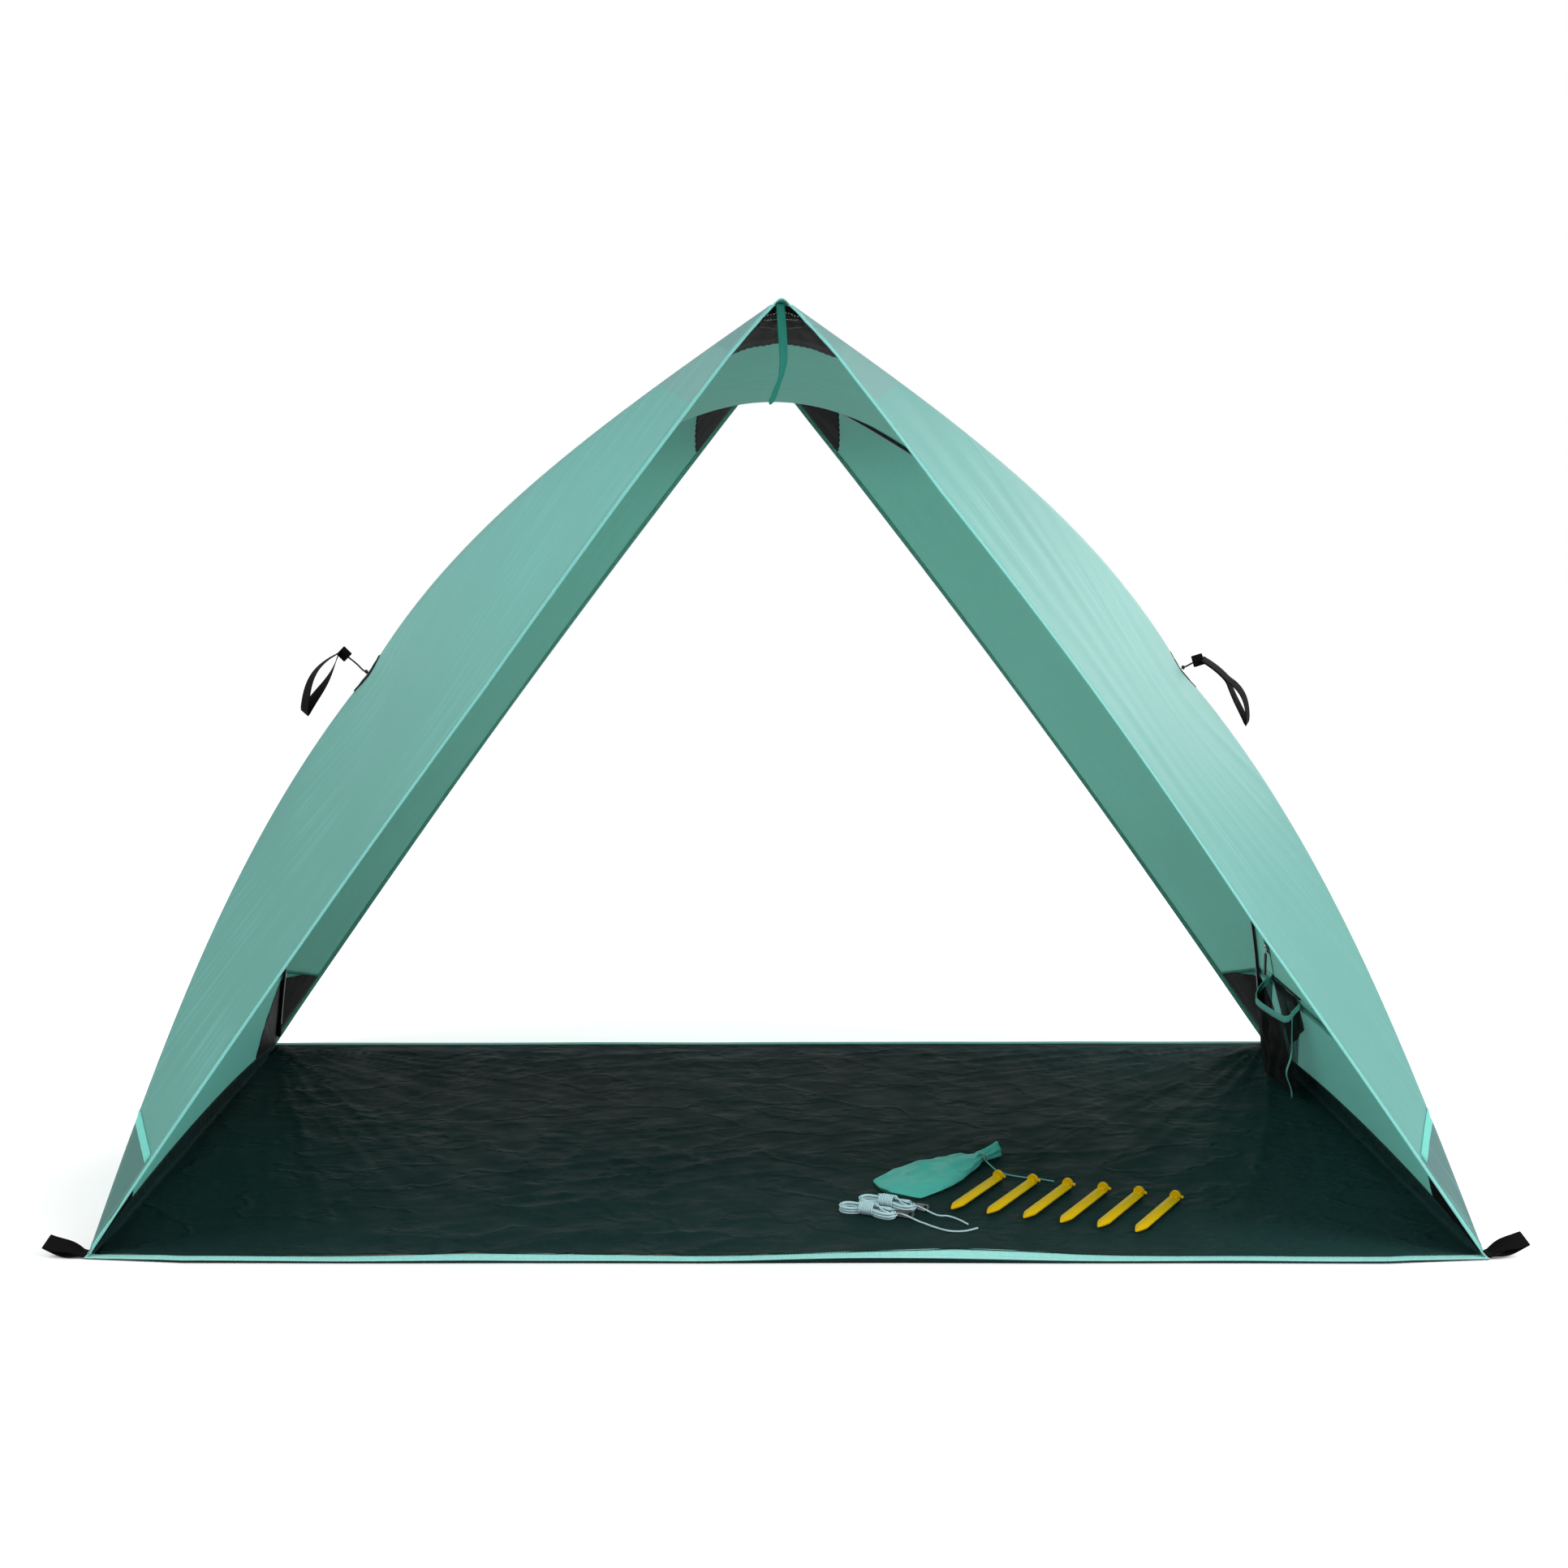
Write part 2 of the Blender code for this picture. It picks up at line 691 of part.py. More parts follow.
def add_tie_out(side, word):
    """The outer patch where the poles cross, its cord, and the webbing loop that hangs on the cord."""
    middle = GROUND_DEPTH / 2
    crossing = side * SLOPE / 2
    half_height = TIE_OUT_PATCH_HEIGHT / 2
    half_width = TIE_OUT_PATCH_WIDTH / 2
    cuts = [(1, 0, crossing + half_height), (-1, 0, half_height - crossing)]
    cuts += [(0, 1, middle + half_width), (0, -1, half_width - middle)]
    low = FABRIC_THICKNESS + GAP
    add_mesh("tie_out_patch_" + word, cloth_solid(cuts, low, TIE_OUT_OUT), BLACK_CLOTH)
    knot = on_wall(crossing, middle, TIE_OUT_OUT + GAP)
    knot += Vector((side, 0, 0)) * TIE_OUT_CORD_RADIUS
    tab = knot + Vector((side * TIE_OUT_TAB_REACH, 0, TIE_OUT_TAB_RISE))
    down = Vector((side * math.cos(SIDE_LOOP_DROP_ANGLE), 0, -math.sin(SIDE_LOOP_DROP_ANGLE)))
    cord = bmesh.new()
    elbow = knot + Vector((side * TIE_OUT_TAB_REACH / 2, 0, 0))
    add_tube(cord, [knot, elbow, tab - down * GAP], TIE_OUT_CORD_RADIUS, CORD_SIDES)
    add_mesh("tie_out_cord_" + word, cord, BLACK_PLASTIC, knot)
    outlines = loop_outline(SIDE_LOOP_LENGTH, SIDE_LOOP_OPENING, WEBBING_THICKNESS, SIDE_LOOP_SEAT_SHARE)
    loop = bmesh.new()
    across = down.cross(Vector((0, 1, 0)))
    add_band(loop, *outlines, WEBBING_WIDTH, frame_at(tab + down * TIE_OUT_CORD_RADIUS, down, across))
    add_mesh("side_loop_" + word, loop, BLACK_CLOTH, knot)


def add_corner_loop(side, front, name):
    """A peg loop sewn to the edge of a ground corner, its free end raised. It turns about that edge."""
    half = CORNER_LOOP_OPENING / 2 * CORNER_LOOP_SEAT_SHARE + WEBBING_THICKNESS
    cosine = math.cos(CORNER_LOOP_ANGLE)
    sine = math.sin(CORNER_LOOP_ANGLE)
    along = Vector((side * cosine, 0, sine))
    up = Vector((-side * sine, 0, cosine))
    y = HALF_DEPTH - WEBBING_WIDTH / 2
    seam = Vector((side * GROUND_WIDTH / 2, -y if front else y, SHEET_THICKNESS))
    seat = seam + along * GAP + up * (half + (CORNER_LOOP_LIFT - SHEET_THICKNESS - GAP * sine) / cosine)
    outlines = loop_outline(CORNER_LOOP_LENGTH, CORNER_LOOP_OPENING, WEBBING_THICKNESS, CORNER_LOOP_SEAT_SHARE)
    loop = bmesh.new()
    add_band(loop, *outlines, WEBBING_WIDTH, frame_at(seat, along, up))
    add_mesh(name, loop, BLACK_CLOTH, seam)


def add_webbing():
    for side, word in ((-1, "left"), (1, "right")):
        add_tie_out(side, word)
        add_corner_loop(side, True, "corner_loop_front_" + word)
        add_corner_loop(side, False, "corner_loop_rear_" + word)


def add_apex_strap():
    """The hanging strap just behind the front edge, under the peak, its top corners at the binding."""
    half = STRAP_WIDTH / 2
    ridge = on_wall(0, STRAP_SETBACK, -BINDING_PROUD - GAP)
    crease = on_wall(STRAP_SETBACK * SLOPE / GROUND_DEPTH, STRAP_SETBACK, -BINDING_PROUD - GAP)
    corner = ridge.lerp(crease, half / crease.x)
    pivot = Vector((0, corner.y, corner.z - STRAP_THICKNESS / 2))
    low = pivot - Vector((half, STRAP_THICKNESS / 2, STRAP_LENGTH))
    high = pivot + Vector((half, STRAP_THICKNESS / 2, 0))
    add_mesh("apex_strap", box_shape(low, high), TEAL_TAPE, pivot)


# Pocket and zip


def pocket_reach(drop):
    """How far the pocket's front stands off the wall and sags: even behind its rim, then less towards its foot."""
    below_rim = max(drop - RIM_HEIGHT, 0) / (POCKET_HEIGHT - RIM_HEIGHT)
    depth = POCKET_DEPTH + (POCKET_FOOT_DEPTH - POCKET_DEPTH) * below_rim
    return Vector((-depth, 0, -RIM_SAG * (1 - below_rim)))


def pocket_ring(drop):
    """One level of the pocket as a closed outline: along the wall at the back, bowed out at the front."""
    across = SLOPE - POCKET_RISE
    back_line = []
    front_line = []
    for index in range(POCKET_COLUMNS + 1):
        share = index / POCKET_COLUMNS
        point = on_wall(across, POCKET_REAR - POCKET_WIDTH * share, -GAP) - Vector((0, 0, drop))
        back_line.append(point)
        bulge = math.sqrt(math.sin(math.pi * share)) if 0 < index < POCKET_COLUMNS else 0
        front_line.append(point + pocket_reach(drop) * bulge)
    return back_line + front_line[-2:0:-1]


def widened(ring, distance):
    """A closed level outline moved outwards all round by a distance."""
    moved = []
    for index, point in enumerate(ring):
        before = (point - ring[index - 1]).to_2d().normalized()
        after = (ring[(index + 1) % len(ring)] - point).to_2d().normalized()
        middle = (before + after).normalized()
        step = distance / middle.dot(after)
        moved.append(point + Vector((-middle.y, middle.x, 0)) * step)
    return moved


def lofted(shape, rings):
    made = [[shape.verts.new(point) for point in ring] for ring in rings]
    for start, end in zip(made, made[1:]):
        join_rings(shape, start, end)
    return made


def add_pocket():
    """The mesh bag, open at the top, and the tape round the front of its mouth."""
    drops = [0, RIM_HEIGHT]
    for index in range(POCKET_LEVELS):
        drops.append(RIM_HEIGHT + (POCKET_HEIGHT - RIM_HEIGHT) * (index + 1) / POCKET_LEVELS)
    rings = [pocket_ring(drop) for drop in drops]
    net = bmesh.new()
    outer = lofted(net, rings)
    floor = [point + Vector((0, 0, POCKET_WALL)) for point in rings[-1]]
    inner = lofted(net, [widened(ring, -POCKET_WALL) for ring in (*rings[:-1], floor)])
    join_rings(net, inner[0], outer[0])
    for ring in (outer[-1], inner[-1]):
        net.faces.new(ring)
    add_mesh("pocket_mesh", net, MESH_CLOTH)
    rim = bmesh.new()
    rows = []
    for distance in (GAP, GAP + RIM_THICKNESS):
        for ring in rings[:2]:
            front = widened(ring, distance)[POCKET_COLUMNS + 1:]
            rows.append([rim.verts.new(point) for point in front])
    inner_top, inner_low, outer_top, outer_low = rows
    sections = list(zip(inner_top, outer_top, outer_low, inner_low))
    for start, end in zip(sections, sections[1:]):
        join_rings(rim, start, end)
    rim.faces.new(sections[0])
    rim.faces.new(sections[-1])
    add_mesh("pocket_rim", rim, TEAL_TAPE)


def zip_frame():
    """A frame at the zip's lower end: X up along the zip, Y towards the rear, Z into the tent."""
    across = SLOPE - ZIP_RISE
    low = on_wall(across, ZIP_BACK, -GAP)
    high = on_wall(across - ZIP_LENGTH, ZIP_BACK, -GAP)
    x_axis = (high - low).normalized()
    rear = on_wall(across, ZIP_BACK + ZIP_WIDTH, -GAP) - low
    y_axis = (rear - x_axis * rear.dot(x_axis)).normalized()
    return frame_at(low, x_axis, y_axis)


def add_prism(shape, outline, start, end, place):
    """An outline in local Y and Z, drawn out along local X."""
    sections = []
    for along in (start, end):
        sections.append([shape.verts.new(place @ Vector((along, y, z))) for y, z in outline])
    join_rings(shape, *sections)
    for section in sections:
        shape.faces.new(section)


def rectangle(half_width, low, high):
    return [(-half_width, low), (half_width, low), (half_width, high), (-half_width, high)]


def add_channel(shape, half_width, wall, low, high, length, place):
    """A channel open towards the wall, drawn out along local X."""
    outer = half_width + wall
    floor = high - wall
    outline = [(-outer, low), (-outer, high), (outer, high), (outer, low), (half_width, low), (half_width, floor)]
    outline += [(-half_width, floor), (-half_width, low)]
    sections = []
    for along in (0, length):
        sections.append([shape.verts.new(place @ Vector((along, y, z))) for y, z in outline])
    join_rings(shape, *sections)
    for section in sections:
        for corners in ((0, 1, 6, 7), (1, 2, 5, 6), (2, 3, 4, 5)):
            shape.faces.new([section[index] for index in corners])


def add_zip():
    """A zip up the wall beside the pocket, its slider at the lower end and the pull that hangs from it."""
    place = zip_frame()
    crown = GAP + ZIP_THICKNESS
    chain = bmesh.new()
    add_prism(chain, rectangle(ZIP_WIDTH / 2, GAP, crown), 0, ZIP_LENGTH, place)
    add_mesh("zip_chain", chain, BLACK_PLASTIC)
    top = crown + GAP + SLIDER_WALL
    slider = bmesh.new()
    add_channel(slider, ZIP_WIDTH / 2 + GAP, SLIDER_WALL, GAP, top, SLIDER_LENGTH, place)
    add_mesh("zip_slider", slider, SLIDER_METAL, place.translation)
    hinge = place @ Vector((0, 0, top + GAP + PULL_THICKNESS / 2))
    low = hinge - Vector((PULL_THICKNESS / 2, PULL_WIDTH / 2, PULL_LENGTH))
    high = hinge + Vector((PULL_THICKNESS / 2, PULL_WIDTH / 2, 0))
    add_mesh("zip_pull", box_shape(low, high), BLACK_PLASTIC, hinge)


# Pegs


def peg_section():
    """A roof-shaped blade over a web, as an outline in Y and Z."""
    half = PEG_WIDTH / 2
    web = PEG_WEB / 2
    edge = PEG_HEIGHT - PEG_FLANGE_FALL
    under = edge - PEG_FLANGE
    inner = PEG_HEIGHT - PEG_FLANGE - PEG_FLANGE_FALL * web / half
    return [(0, PEG_HEIGHT), (half, edge), (half, under), (web, inner), (web, 0), (-web, 0), (-web, inner),
            (-half, under), (-half, edge)]


def peg_shape():
    """A peg along X: its point at the start, then the ribbed blade, a round head and an ear."""
    shape = bmesh.new()
    neck = PEG_LENGTH - PEG_HEAD_LENGTH
    rings = []
    for along in (PEG_POINT, neck):
        rings.append([shape.verts.new((along, y, z)) for y, z in peg_section()])
    join_rings(shape, *rings)
    tip = shape.verts.new((0, 0, PEG_HEIGHT / 2))
    for index in range(len(rings[0])):
        shape.faces.new((rings[0][index - 1], rings[0][index], tip))
    shape.faces.new(rings[1])
    bmesh.ops.recalc_face_normals(shape, faces=shape.faces)
    return shape


def peg_head_shape():
    shape = bmesh.new()
    centre = Vector((PEG_LENGTH - PEG_HEAD_LENGTH - GAP, 0, PEG_HEAD_RADIUS))
    edge = PEG_HEAD_LENGTH / 4
    low = PEG_HEAD_RADIUS - edge
    profile = [(0, low), (edge, PEG_HEAD_RADIUS), (PEG_HEAD_LENGTH - edge, PEG_HEAD_RADIUS), (PEG_HEAD_LENGTH, low)]
    add_turned(shape, centre, Vector((1, 0, 0)), profile, 2 * TUBE_SIDES)
    bmesh.ops.recalc_face_normals(shape, faces=shape.faces)
    return shape


def peg_ear_shape():
    shape = box_shape((0, 0, 0), (PEG_EAR, PEG_EAR, PEG_EAR))
    spot = Vector((PEG_LENGTH - PEG_EAR, -PEG_HEAD_RADIUS - PEG_EAR / 2, PEG_HEAD_RADIUS))
    bmesh.ops.translate(shape, verts=shape.verts, vec=spot)
    return shape


def add_pegs():
    pattern = joined_shape([peg_shape(), peg_head_shape(), peg_ear_shape()], "peg")
    lie = Matrix.Rotation(PEG_YAW, 4, "Z")
    for index in range(PEG_COUNT):
        tip = FIRST_PEG_TIP + PEG_STEP * index + Vector((0, 0, SHEET_TOP))
        peg = pattern.copy()
        bmesh.ops.transform(peg, matrix=Matrix.Translation(tip) @ lie, verts=peg.verts)
        add_mesh(f"peg_{index + 1}", peg, YELLOW_PLASTIC, tip)
    pattern.free()


# Pouch


POUCH_LENGTH_SHARES = (0.0, 0.05, 0.37, 0.65, 0.86, 1.0)
POUCH_WIDTH_SHARES = (0.96, 1.0, 0.97, 0.68, 0.34)
POUCH_HEIGHT_SHARES = (0.18, 0.40, 1.0, 0.92, 0.70)
POUCH_UNDERSIDE_SHARE = 0.35
FLARE_MIDDLE_SHARE = 0.80
FLARE_HEIGHT_SHARE = 0.75


def pouch_rings():
    rings = []
    for length, width, height in zip(POUCH_LENGTH_SHARES, POUCH_WIDTH_SHARES, POUCH_HEIGHT_SHARES):
        rings.append((length * POUCH_LENGTH, width * POUCH_WIDTH / 2, height * POUCH_HEIGHT))
    rings.append((POUCH_LENGTH, POUCH_NECK / 2, POUCH_NECK))
    half_width = POUCH_FLARE_WIDTH / 2
    rings.append((POUCH_LENGTH + POUCH_FLARE_LENGTH / 2, half_width * FLARE_MIDDLE_SHARE, POUCH_NECK))
    rings.append((POUCH_LENGTH + POUCH_FLARE_LENGTH, half_width, POUCH_NECK * FLARE_HEIGHT_SHARE))
    return rings


def add_pouch():
    base = POUCH_BASE + Vector((0, 0, SHEET_TOP))
    place = Matrix.Translation(base) @ Matrix.Rotation(POUCH_YAW, 4, "Z")
    bag = bmesh.new()
    rings = []
    for along, half_width, height in pouch_rings():
        ring = []
        for index in range(POUCH_SIDES):
            angle = 2 * math.pi * index / POUCH_SIDES
            sine = math.sin(angle)
            reach = 1 - POUCH_UNDERSIDE_SHARE if sine > 0 else POUCH_UNDERSIDE_SHARE
            z = height * (POUCH_UNDERSIDE_SHARE + reach * sine)
            ring.append(place @ Vector((along, half_width * math.cos(angle), z)))
        rings.append(ring)
    made = lofted(bag, rings)
    for ring in (made[0], made[-1]):
        bag.faces.new(ring)
    add_mesh("peg_pouch", bag, TEAL, base)


def smooth_route(points, spacing):
    """Points read at a steady spacing from a smooth curve through the chosen ones."""
    ends = [points[0] * 2 - points[1], *points, points[-1] * 2 - points[-2]]
    fine = []
    for before, start, end, after in zip(ends, ends[1:], ends[2:], ends[3:]):
        pieces = max(2, math.ceil((end - start).length / spacing))
        for index in range(pieces):
            share = index / pieces
            square, cube = share ** 2, share ** 3
            point = start * (2 - 5 * square + 3 * cube) + before * (2 * square - cube - share)
            point += end * (share + 4 * square - 3 * cube) + after * (cube - square)
            fine.append(point / 2)
    fine.append(points[-1].copy())
    return fine


def add_cord(name, points, radius, resolution, look):
    curve = bpy.data.curves.new(name, "CURVE")
    curve.dimensions = "3D"
    curve.bevel_depth = radius
    curve.bevel_resolution = resolution
    curve.use_fill_caps = True
    spline = curve.splines.new("POLY")
    spline.points.add(len(points) - 1)
    for knot, point in zip(spline.points, points):
        knot.co = (*point, 1)
    cord = bpy.data.objects.new(name, curve)
    cord.data.materials.append(finish(name, look))
    bpy.context.scene.collection.objects.link(cord)
    return cord


def flat_route(places, level):
    return [Vector((x, y, level)) for x, y in places]


def add_pouch_drawcord():
    """The drawcord's free end, from the side of the neck to the sheet and away past two pegs."""
    neck = POUCH_BASE + Matrix.Rotation(POUCH_YAW, 3, "Z") @ Vector((POUCH_LENGTH, -POUCH_NECK / 2, 0))
    rest = SHEET_TOP + DRAWCORD_RADIUS
    away = Matrix.Rotation(POUCH_YAW, 3, "Z") @ Vector((0, -1, 0))
    start = neck + away * (DRAWCORD_RADIUS + GAP) + Vector((0, 0, SHEET_TOP + POUCH_NECK / 3))
    route = [start, start + away * 3 * DRAWCORD_RADIUS]
    route += [Vector((0.3840, -0.1920, rest + DRAWCORD_RADIUS)), Vector((0.3920, -0.2120, rest))]
    route += flat_route(((0.4080, -0.2310), (0.4340, -0.2440), (0.4610, -0.2600)), rest)
    add_cord("pouch_drawcord", smooth_route(route, 5 * DRAWCORD_RADIUS), DRAWCORD_RADIUS, 2, TEAL_TAPE)


# Guy lines


def hank_level():
    return SHEET_TOP + GUY_RADIUS


def hank_points():
    """The centre line of a hank lying along X: a layer of turns wound inwards, and one over it wound out again."""
    per_turn = 2 * (RUN_POINTS + BEND_POINTS)
    turns = 2 * HANK_TURNS_PER_LAYER
    layer = 2 * GUY_RADIUS + HANK_GAP
    points = []
    last = turns * per_turn - RUN_POINTS - BEND_POINTS - RUN_POINTS // 2
    for index in range(per_turn // 4, last + per_turn // 4 + RUN_POINTS):
        turn = index / per_turn
        radius = HANK_INNER_RADIUS + HANK_PITCH * abs(turn - HANK_TURNS_PER_LAYER)
        climb = min(max(2 * (turn - HANK_TURNS_PER_LAYER) + 0.5, 0), 1)
        x, y = stadium_point(index % per_turn, radius)
        waist = 1 - HANK_WAIST_SHARE * math.cos(math.pi * min(abs(x) / HANK_RUN, 1) / 2) ** 2
        points.append(Vector((x, y * waist, hank_level() + layer * climb)))
    return points


def stadium_point(step, radius):
    """A point on a loop of two straight runs and two round bends, by its step round the loop."""
    if step < RUN_POINTS:
        return HANK_RUN * (1 - 2 * step / RUN_POINTS), radius
    step -= RUN_POINTS
    if step < BEND_POINTS:
        angle = math.pi / 2 + math.pi * step / BEND_POINTS
        return -HANK_RUN + radius * math.cos(angle), radius * math.sin(angle)
    step -= BEND_POINTS
    if step < RUN_POINTS:
        return HANK_RUN * (2 * step / RUN_POINTS - 1), -radius
    step -= RUN_POINTS
    angle = -math.pi / 2 + math.pi * step / BEND_POINTS
    return HANK_RUN + radius * math.cos(angle), radius * math.sin(angle)


def least_gap(points, radius):
    """The least clear distance between stretches of a wound cord that aren't neighbours along it."""
    fine = []
    for start, end in zip(points, points[1:]):
        pieces = max(1, math.ceil((end - start).length / radius))
        fine += [start.lerp(end, index / pieces) for index in range(pieces)]
    places = np.array([tuple(point) for point in fine])
    steps = np.linalg.norm(np.diff(places, axis=0), axis=1)
    along = np.concatenate([[0], np.cumsum(steps)])
    apart = np.linalg.norm(places[:, None] - places[None], axis=2)
    apart[np.abs(along[:, None] - along[None]) < 8 * radius] = np.inf
    return float(apart.min()) - 2 * radius


def tensioner_shape(place):
    """A flat drop-shaped plate on its long edge, wide at one end, drawn through its thickness."""
    outline = []
    reach = TENSIONER_LENGTH / 2
    for radius, centre, start in ((TENSIONER_SMALL_RADIUS, reach - TENSIONER_SMALL_RADIUS, -math.pi / 2),
                                  (TENSIONER_LARGE_RADIUS, TENSIONER_LARGE_RADIUS - reach, math.pi / 2)):
        for index in range(TENSIONER_END_POINTS + 1):
            angle = start + math.pi * index / TENSIONER_END_POINTS
            outline.append((centre + radius * math.cos(angle), radius * (1 + math.sin(angle))))
    shape = bmesh.new()
    add_prism(shape, outline, -TENSIONER_THICKNESS / 2, TENSIONER_THICKNESS / 2, place)
    return shape


def add_tensioner(name, place):
    """The plate with its two holes. The frame's X runs through the plate, from the foot of its middle."""
    bar = add_mesh(name, tensioner_shape(place), BLACK_PLASTIC)
    reach = TENSIONER_LENGTH / 2
    holes = ((TENSIONER_LARGE_RADIUS - reach, TENSIONER_LARGE_RADIUS, TENSIONER_LARGE_HOLE_RADIUS),
             (reach - TENSIONER_SMALL_RADIUS, TENSIONER_SMALL_RADIUS, TENSIONER_SMALL_HOLE_RADIUS))
    heading = place.to_3x3() @ Vector((1, 0, 0))
    for index, (along, level, radius) in enumerate(holes):
        shape = bmesh.new()
        start = place @ Vector((-TENSIONER_THICKNESS, along, level))
        add_turned(shape, start, heading, [(0, radius), (2 * TENSIONER_THICKNESS, radius)])
        cutter = add_mesh(f"{name}_cutter_{index}", shape, BLACK_PLASTIC)
        cutter.hide_render = True
        cutter.display_type = "WIRE"
        cut = bar.modifiers.new(cutter.name, "BOOLEAN")
        cut.operation = "DIFFERENCE"
        cut.solver = "EXACT"
        cut.object = cutter


def add_guy_line(word, centre, places):
    """A guy line: its hank, the free tail to its cut end, and the tensioner that the tail runs through."""
    place = Matrix.Translation(centre) @ Matrix.Rotation(HANK_YAW, 4, "Z")
    local = hank_points()
    hank_end = local[-1]
    exit_x = HANK_RUN + HANK_INNER_RADIUS + HANK_PITCH * HANK_TURNS_PER_LAYER
    local.append(Vector((exit_x, hank_end.y, hank_end.z)))
    print(f"guy line {word}: least gap to itself {least_gap(local, GUY_RADIUS) * 1000:.2f} mm, "
          f"hank length {path_length(local):.3f} m")
    add_cord("guy_hank_" + word, [place @ point for point in local], GUY_RADIUS, 1, GUY_CORD)
    start = local[-1] + Vector((GAP, 0, 0))
    foot = Vector((start.x + TENSIONER_OFFSET, start.y, SHEET_TOP))
    hole = foot + Vector((0, 0, TENSIONER_LARGE_RADIUS))
    local_route = [start, start + Vector((2 * GUY_RADIUS, 0, 0)), hole, hole + Vector((TENSIONER_THICKNESS, 0, 0))]
    route = [place @ point for point in local_route] + flat_route(places, hank_level())
    tail = smooth_route(route, 5 * GUY_RADIUS)
    for point in tail:
        point.z = max(point.z, hank_level())
    add_cord("guy_tail_" + word, tail, GUY_RADIUS, 2, GUY_CORD)
    foot.y += TENSIONER_LENGTH / 2 - TENSIONER_LARGE_RADIUS
    add_tensioner("guy_tensioner_" + word, place @ Matrix.Translation(foot))


GUY_TAIL_A_PLACES = ((0.2620, -0.4220), (0.2800, -0.4260), (0.2960, -0.4420), (0.3080, -0.4620))
GUY_TAIL_B_PLACES = ((0.2320, -0.4530), (0.2500, -0.4720), (0.2730, -0.4900), (0.2980, -0.4910),
                     (0.3220, -0.4780))


def add_guy_lines():
    add_guy_line("a", HANK_A_CENTRE, GUY_TAIL_A_PLACES)
    add_guy_line("b", HANK_B_CENTRE, GUY_TAIL_B_PLACES)


add_canopy()
add_edge_bindings()
add_groundsheet()
add_poles()
add_patches()
add_webbing()
add_apex_strap()
add_pocket()
add_zip()
add_pegs()
add_pouch()
add_pouch_drawcord()
add_guy_lines()
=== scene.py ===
"""Beach tent, dressed: taut cloth on bowed poles, a groundsheet, a pocket, pegs, a pouch and guy lines."""

import math

import bmesh
import bpy
import numpy as np
from mathutils import Matrix, Vector, noise


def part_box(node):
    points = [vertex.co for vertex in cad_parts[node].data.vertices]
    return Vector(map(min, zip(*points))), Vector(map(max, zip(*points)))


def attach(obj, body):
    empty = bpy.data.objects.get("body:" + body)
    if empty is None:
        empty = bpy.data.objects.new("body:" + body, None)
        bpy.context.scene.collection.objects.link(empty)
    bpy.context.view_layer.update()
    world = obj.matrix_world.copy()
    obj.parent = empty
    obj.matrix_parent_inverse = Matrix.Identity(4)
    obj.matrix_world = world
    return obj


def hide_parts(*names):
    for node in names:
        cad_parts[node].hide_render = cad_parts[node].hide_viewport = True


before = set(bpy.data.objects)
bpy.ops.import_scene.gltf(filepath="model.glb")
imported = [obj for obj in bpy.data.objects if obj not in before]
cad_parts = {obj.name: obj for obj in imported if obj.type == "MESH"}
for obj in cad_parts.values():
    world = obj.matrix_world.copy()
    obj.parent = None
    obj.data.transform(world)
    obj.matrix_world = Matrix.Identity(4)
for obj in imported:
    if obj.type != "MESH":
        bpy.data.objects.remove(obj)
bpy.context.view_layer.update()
bpy.ops.object.select_all(action="DESELECT")

# Sizes of the pitched tent, in metres, as the frame holds them
GROUND_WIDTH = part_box("groundsheet")[1].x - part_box("groundsheet")[0].x
HALF_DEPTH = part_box("ground_hem_rear")[1].y
GROUND_DEPTH = 2 * HALF_DEPTH
PEAK_HEIGHT = 1.466
POLE_BULGE = 0.238
EDGE_BOW = 0.017
SLACK_BOW = 0.012
RIDGE_ROUND = 0.016
RIDGE_SWELL = 0.85
PEAK_RISES = (0.0, 0.60, 0.80, 0.94, 0.98, 1.0)
PEAK_BOWS = {-1: (0.0, 0.0, 0.0062, 0.0080, 0.0040, 0.0), 1: (0.0, 0.0, -0.0010, 0.0080, 0.0040, 0.0)}
GAP = 0.0003
SHEET_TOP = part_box("groundsheet")[1].z + GAP
FOOT_X = GROUND_WIDTH / 2 - 0.006
FOOT_Z = SHEET_TOP + 0.0005
SLOPE = math.hypot(FOOT_X, PEAK_HEIGHT - FOOT_Z)
TENSION_RATIO = 11.0
WALL_LEVELS = (24, 48, 96)
RELAX_SWEEPS = 900
CELLS = WALL_LEVELS[-1]

# Cloth, tape and thread
FABRIC = 0.0010
BINDING_WIDTH = 0.014
SEAM_RISE = 0.185
TAPE_WIDTH = 0.018
CORNER_PATCH_RISE = 0.190
CORNER_PATCH_RUN = 0.165
CORNER_PATCH_ROUND = 0.060
APEX_PATCH_DEPTH = 0.130
APEX_PATCH_ROUND = 0.030
FRONT_PATCH_DROP = 0.106
REAR_PATCH_DROP = 0.228
FRONT_ZONE_DROP = 0.200
FRONT_ZONE_DEPTH = 0.225
WEBBING_WIDTH = 0.025
WEBBING = 0.0014
STITCH = 0.0034
STITCH_PITCH = 0.0048
THREAD = 0.00028

# Poles
POLE_RADIUS = 0.00425
PATCH_DEPTH = 0.0013
CUP_RADIUS = POLE_RADIUS + 0.0013
POLE_DEPTH = PATCH_DEPTH + GAP + POLE_RADIUS
END_DEPTH = PATCH_DEPTH - 0.0009 + CUP_RADIUS
CUP_START = 0.036
CUP_LENGTH = 0.040
FERRULE_LENGTH = 0.060
FERRULE_RADIUS = POLE_RADIUS + 0.0011
FERRULE_LIP = 0.0006
POLE_STEP = 0.012
POLE_CLEARANCE = 0.0020

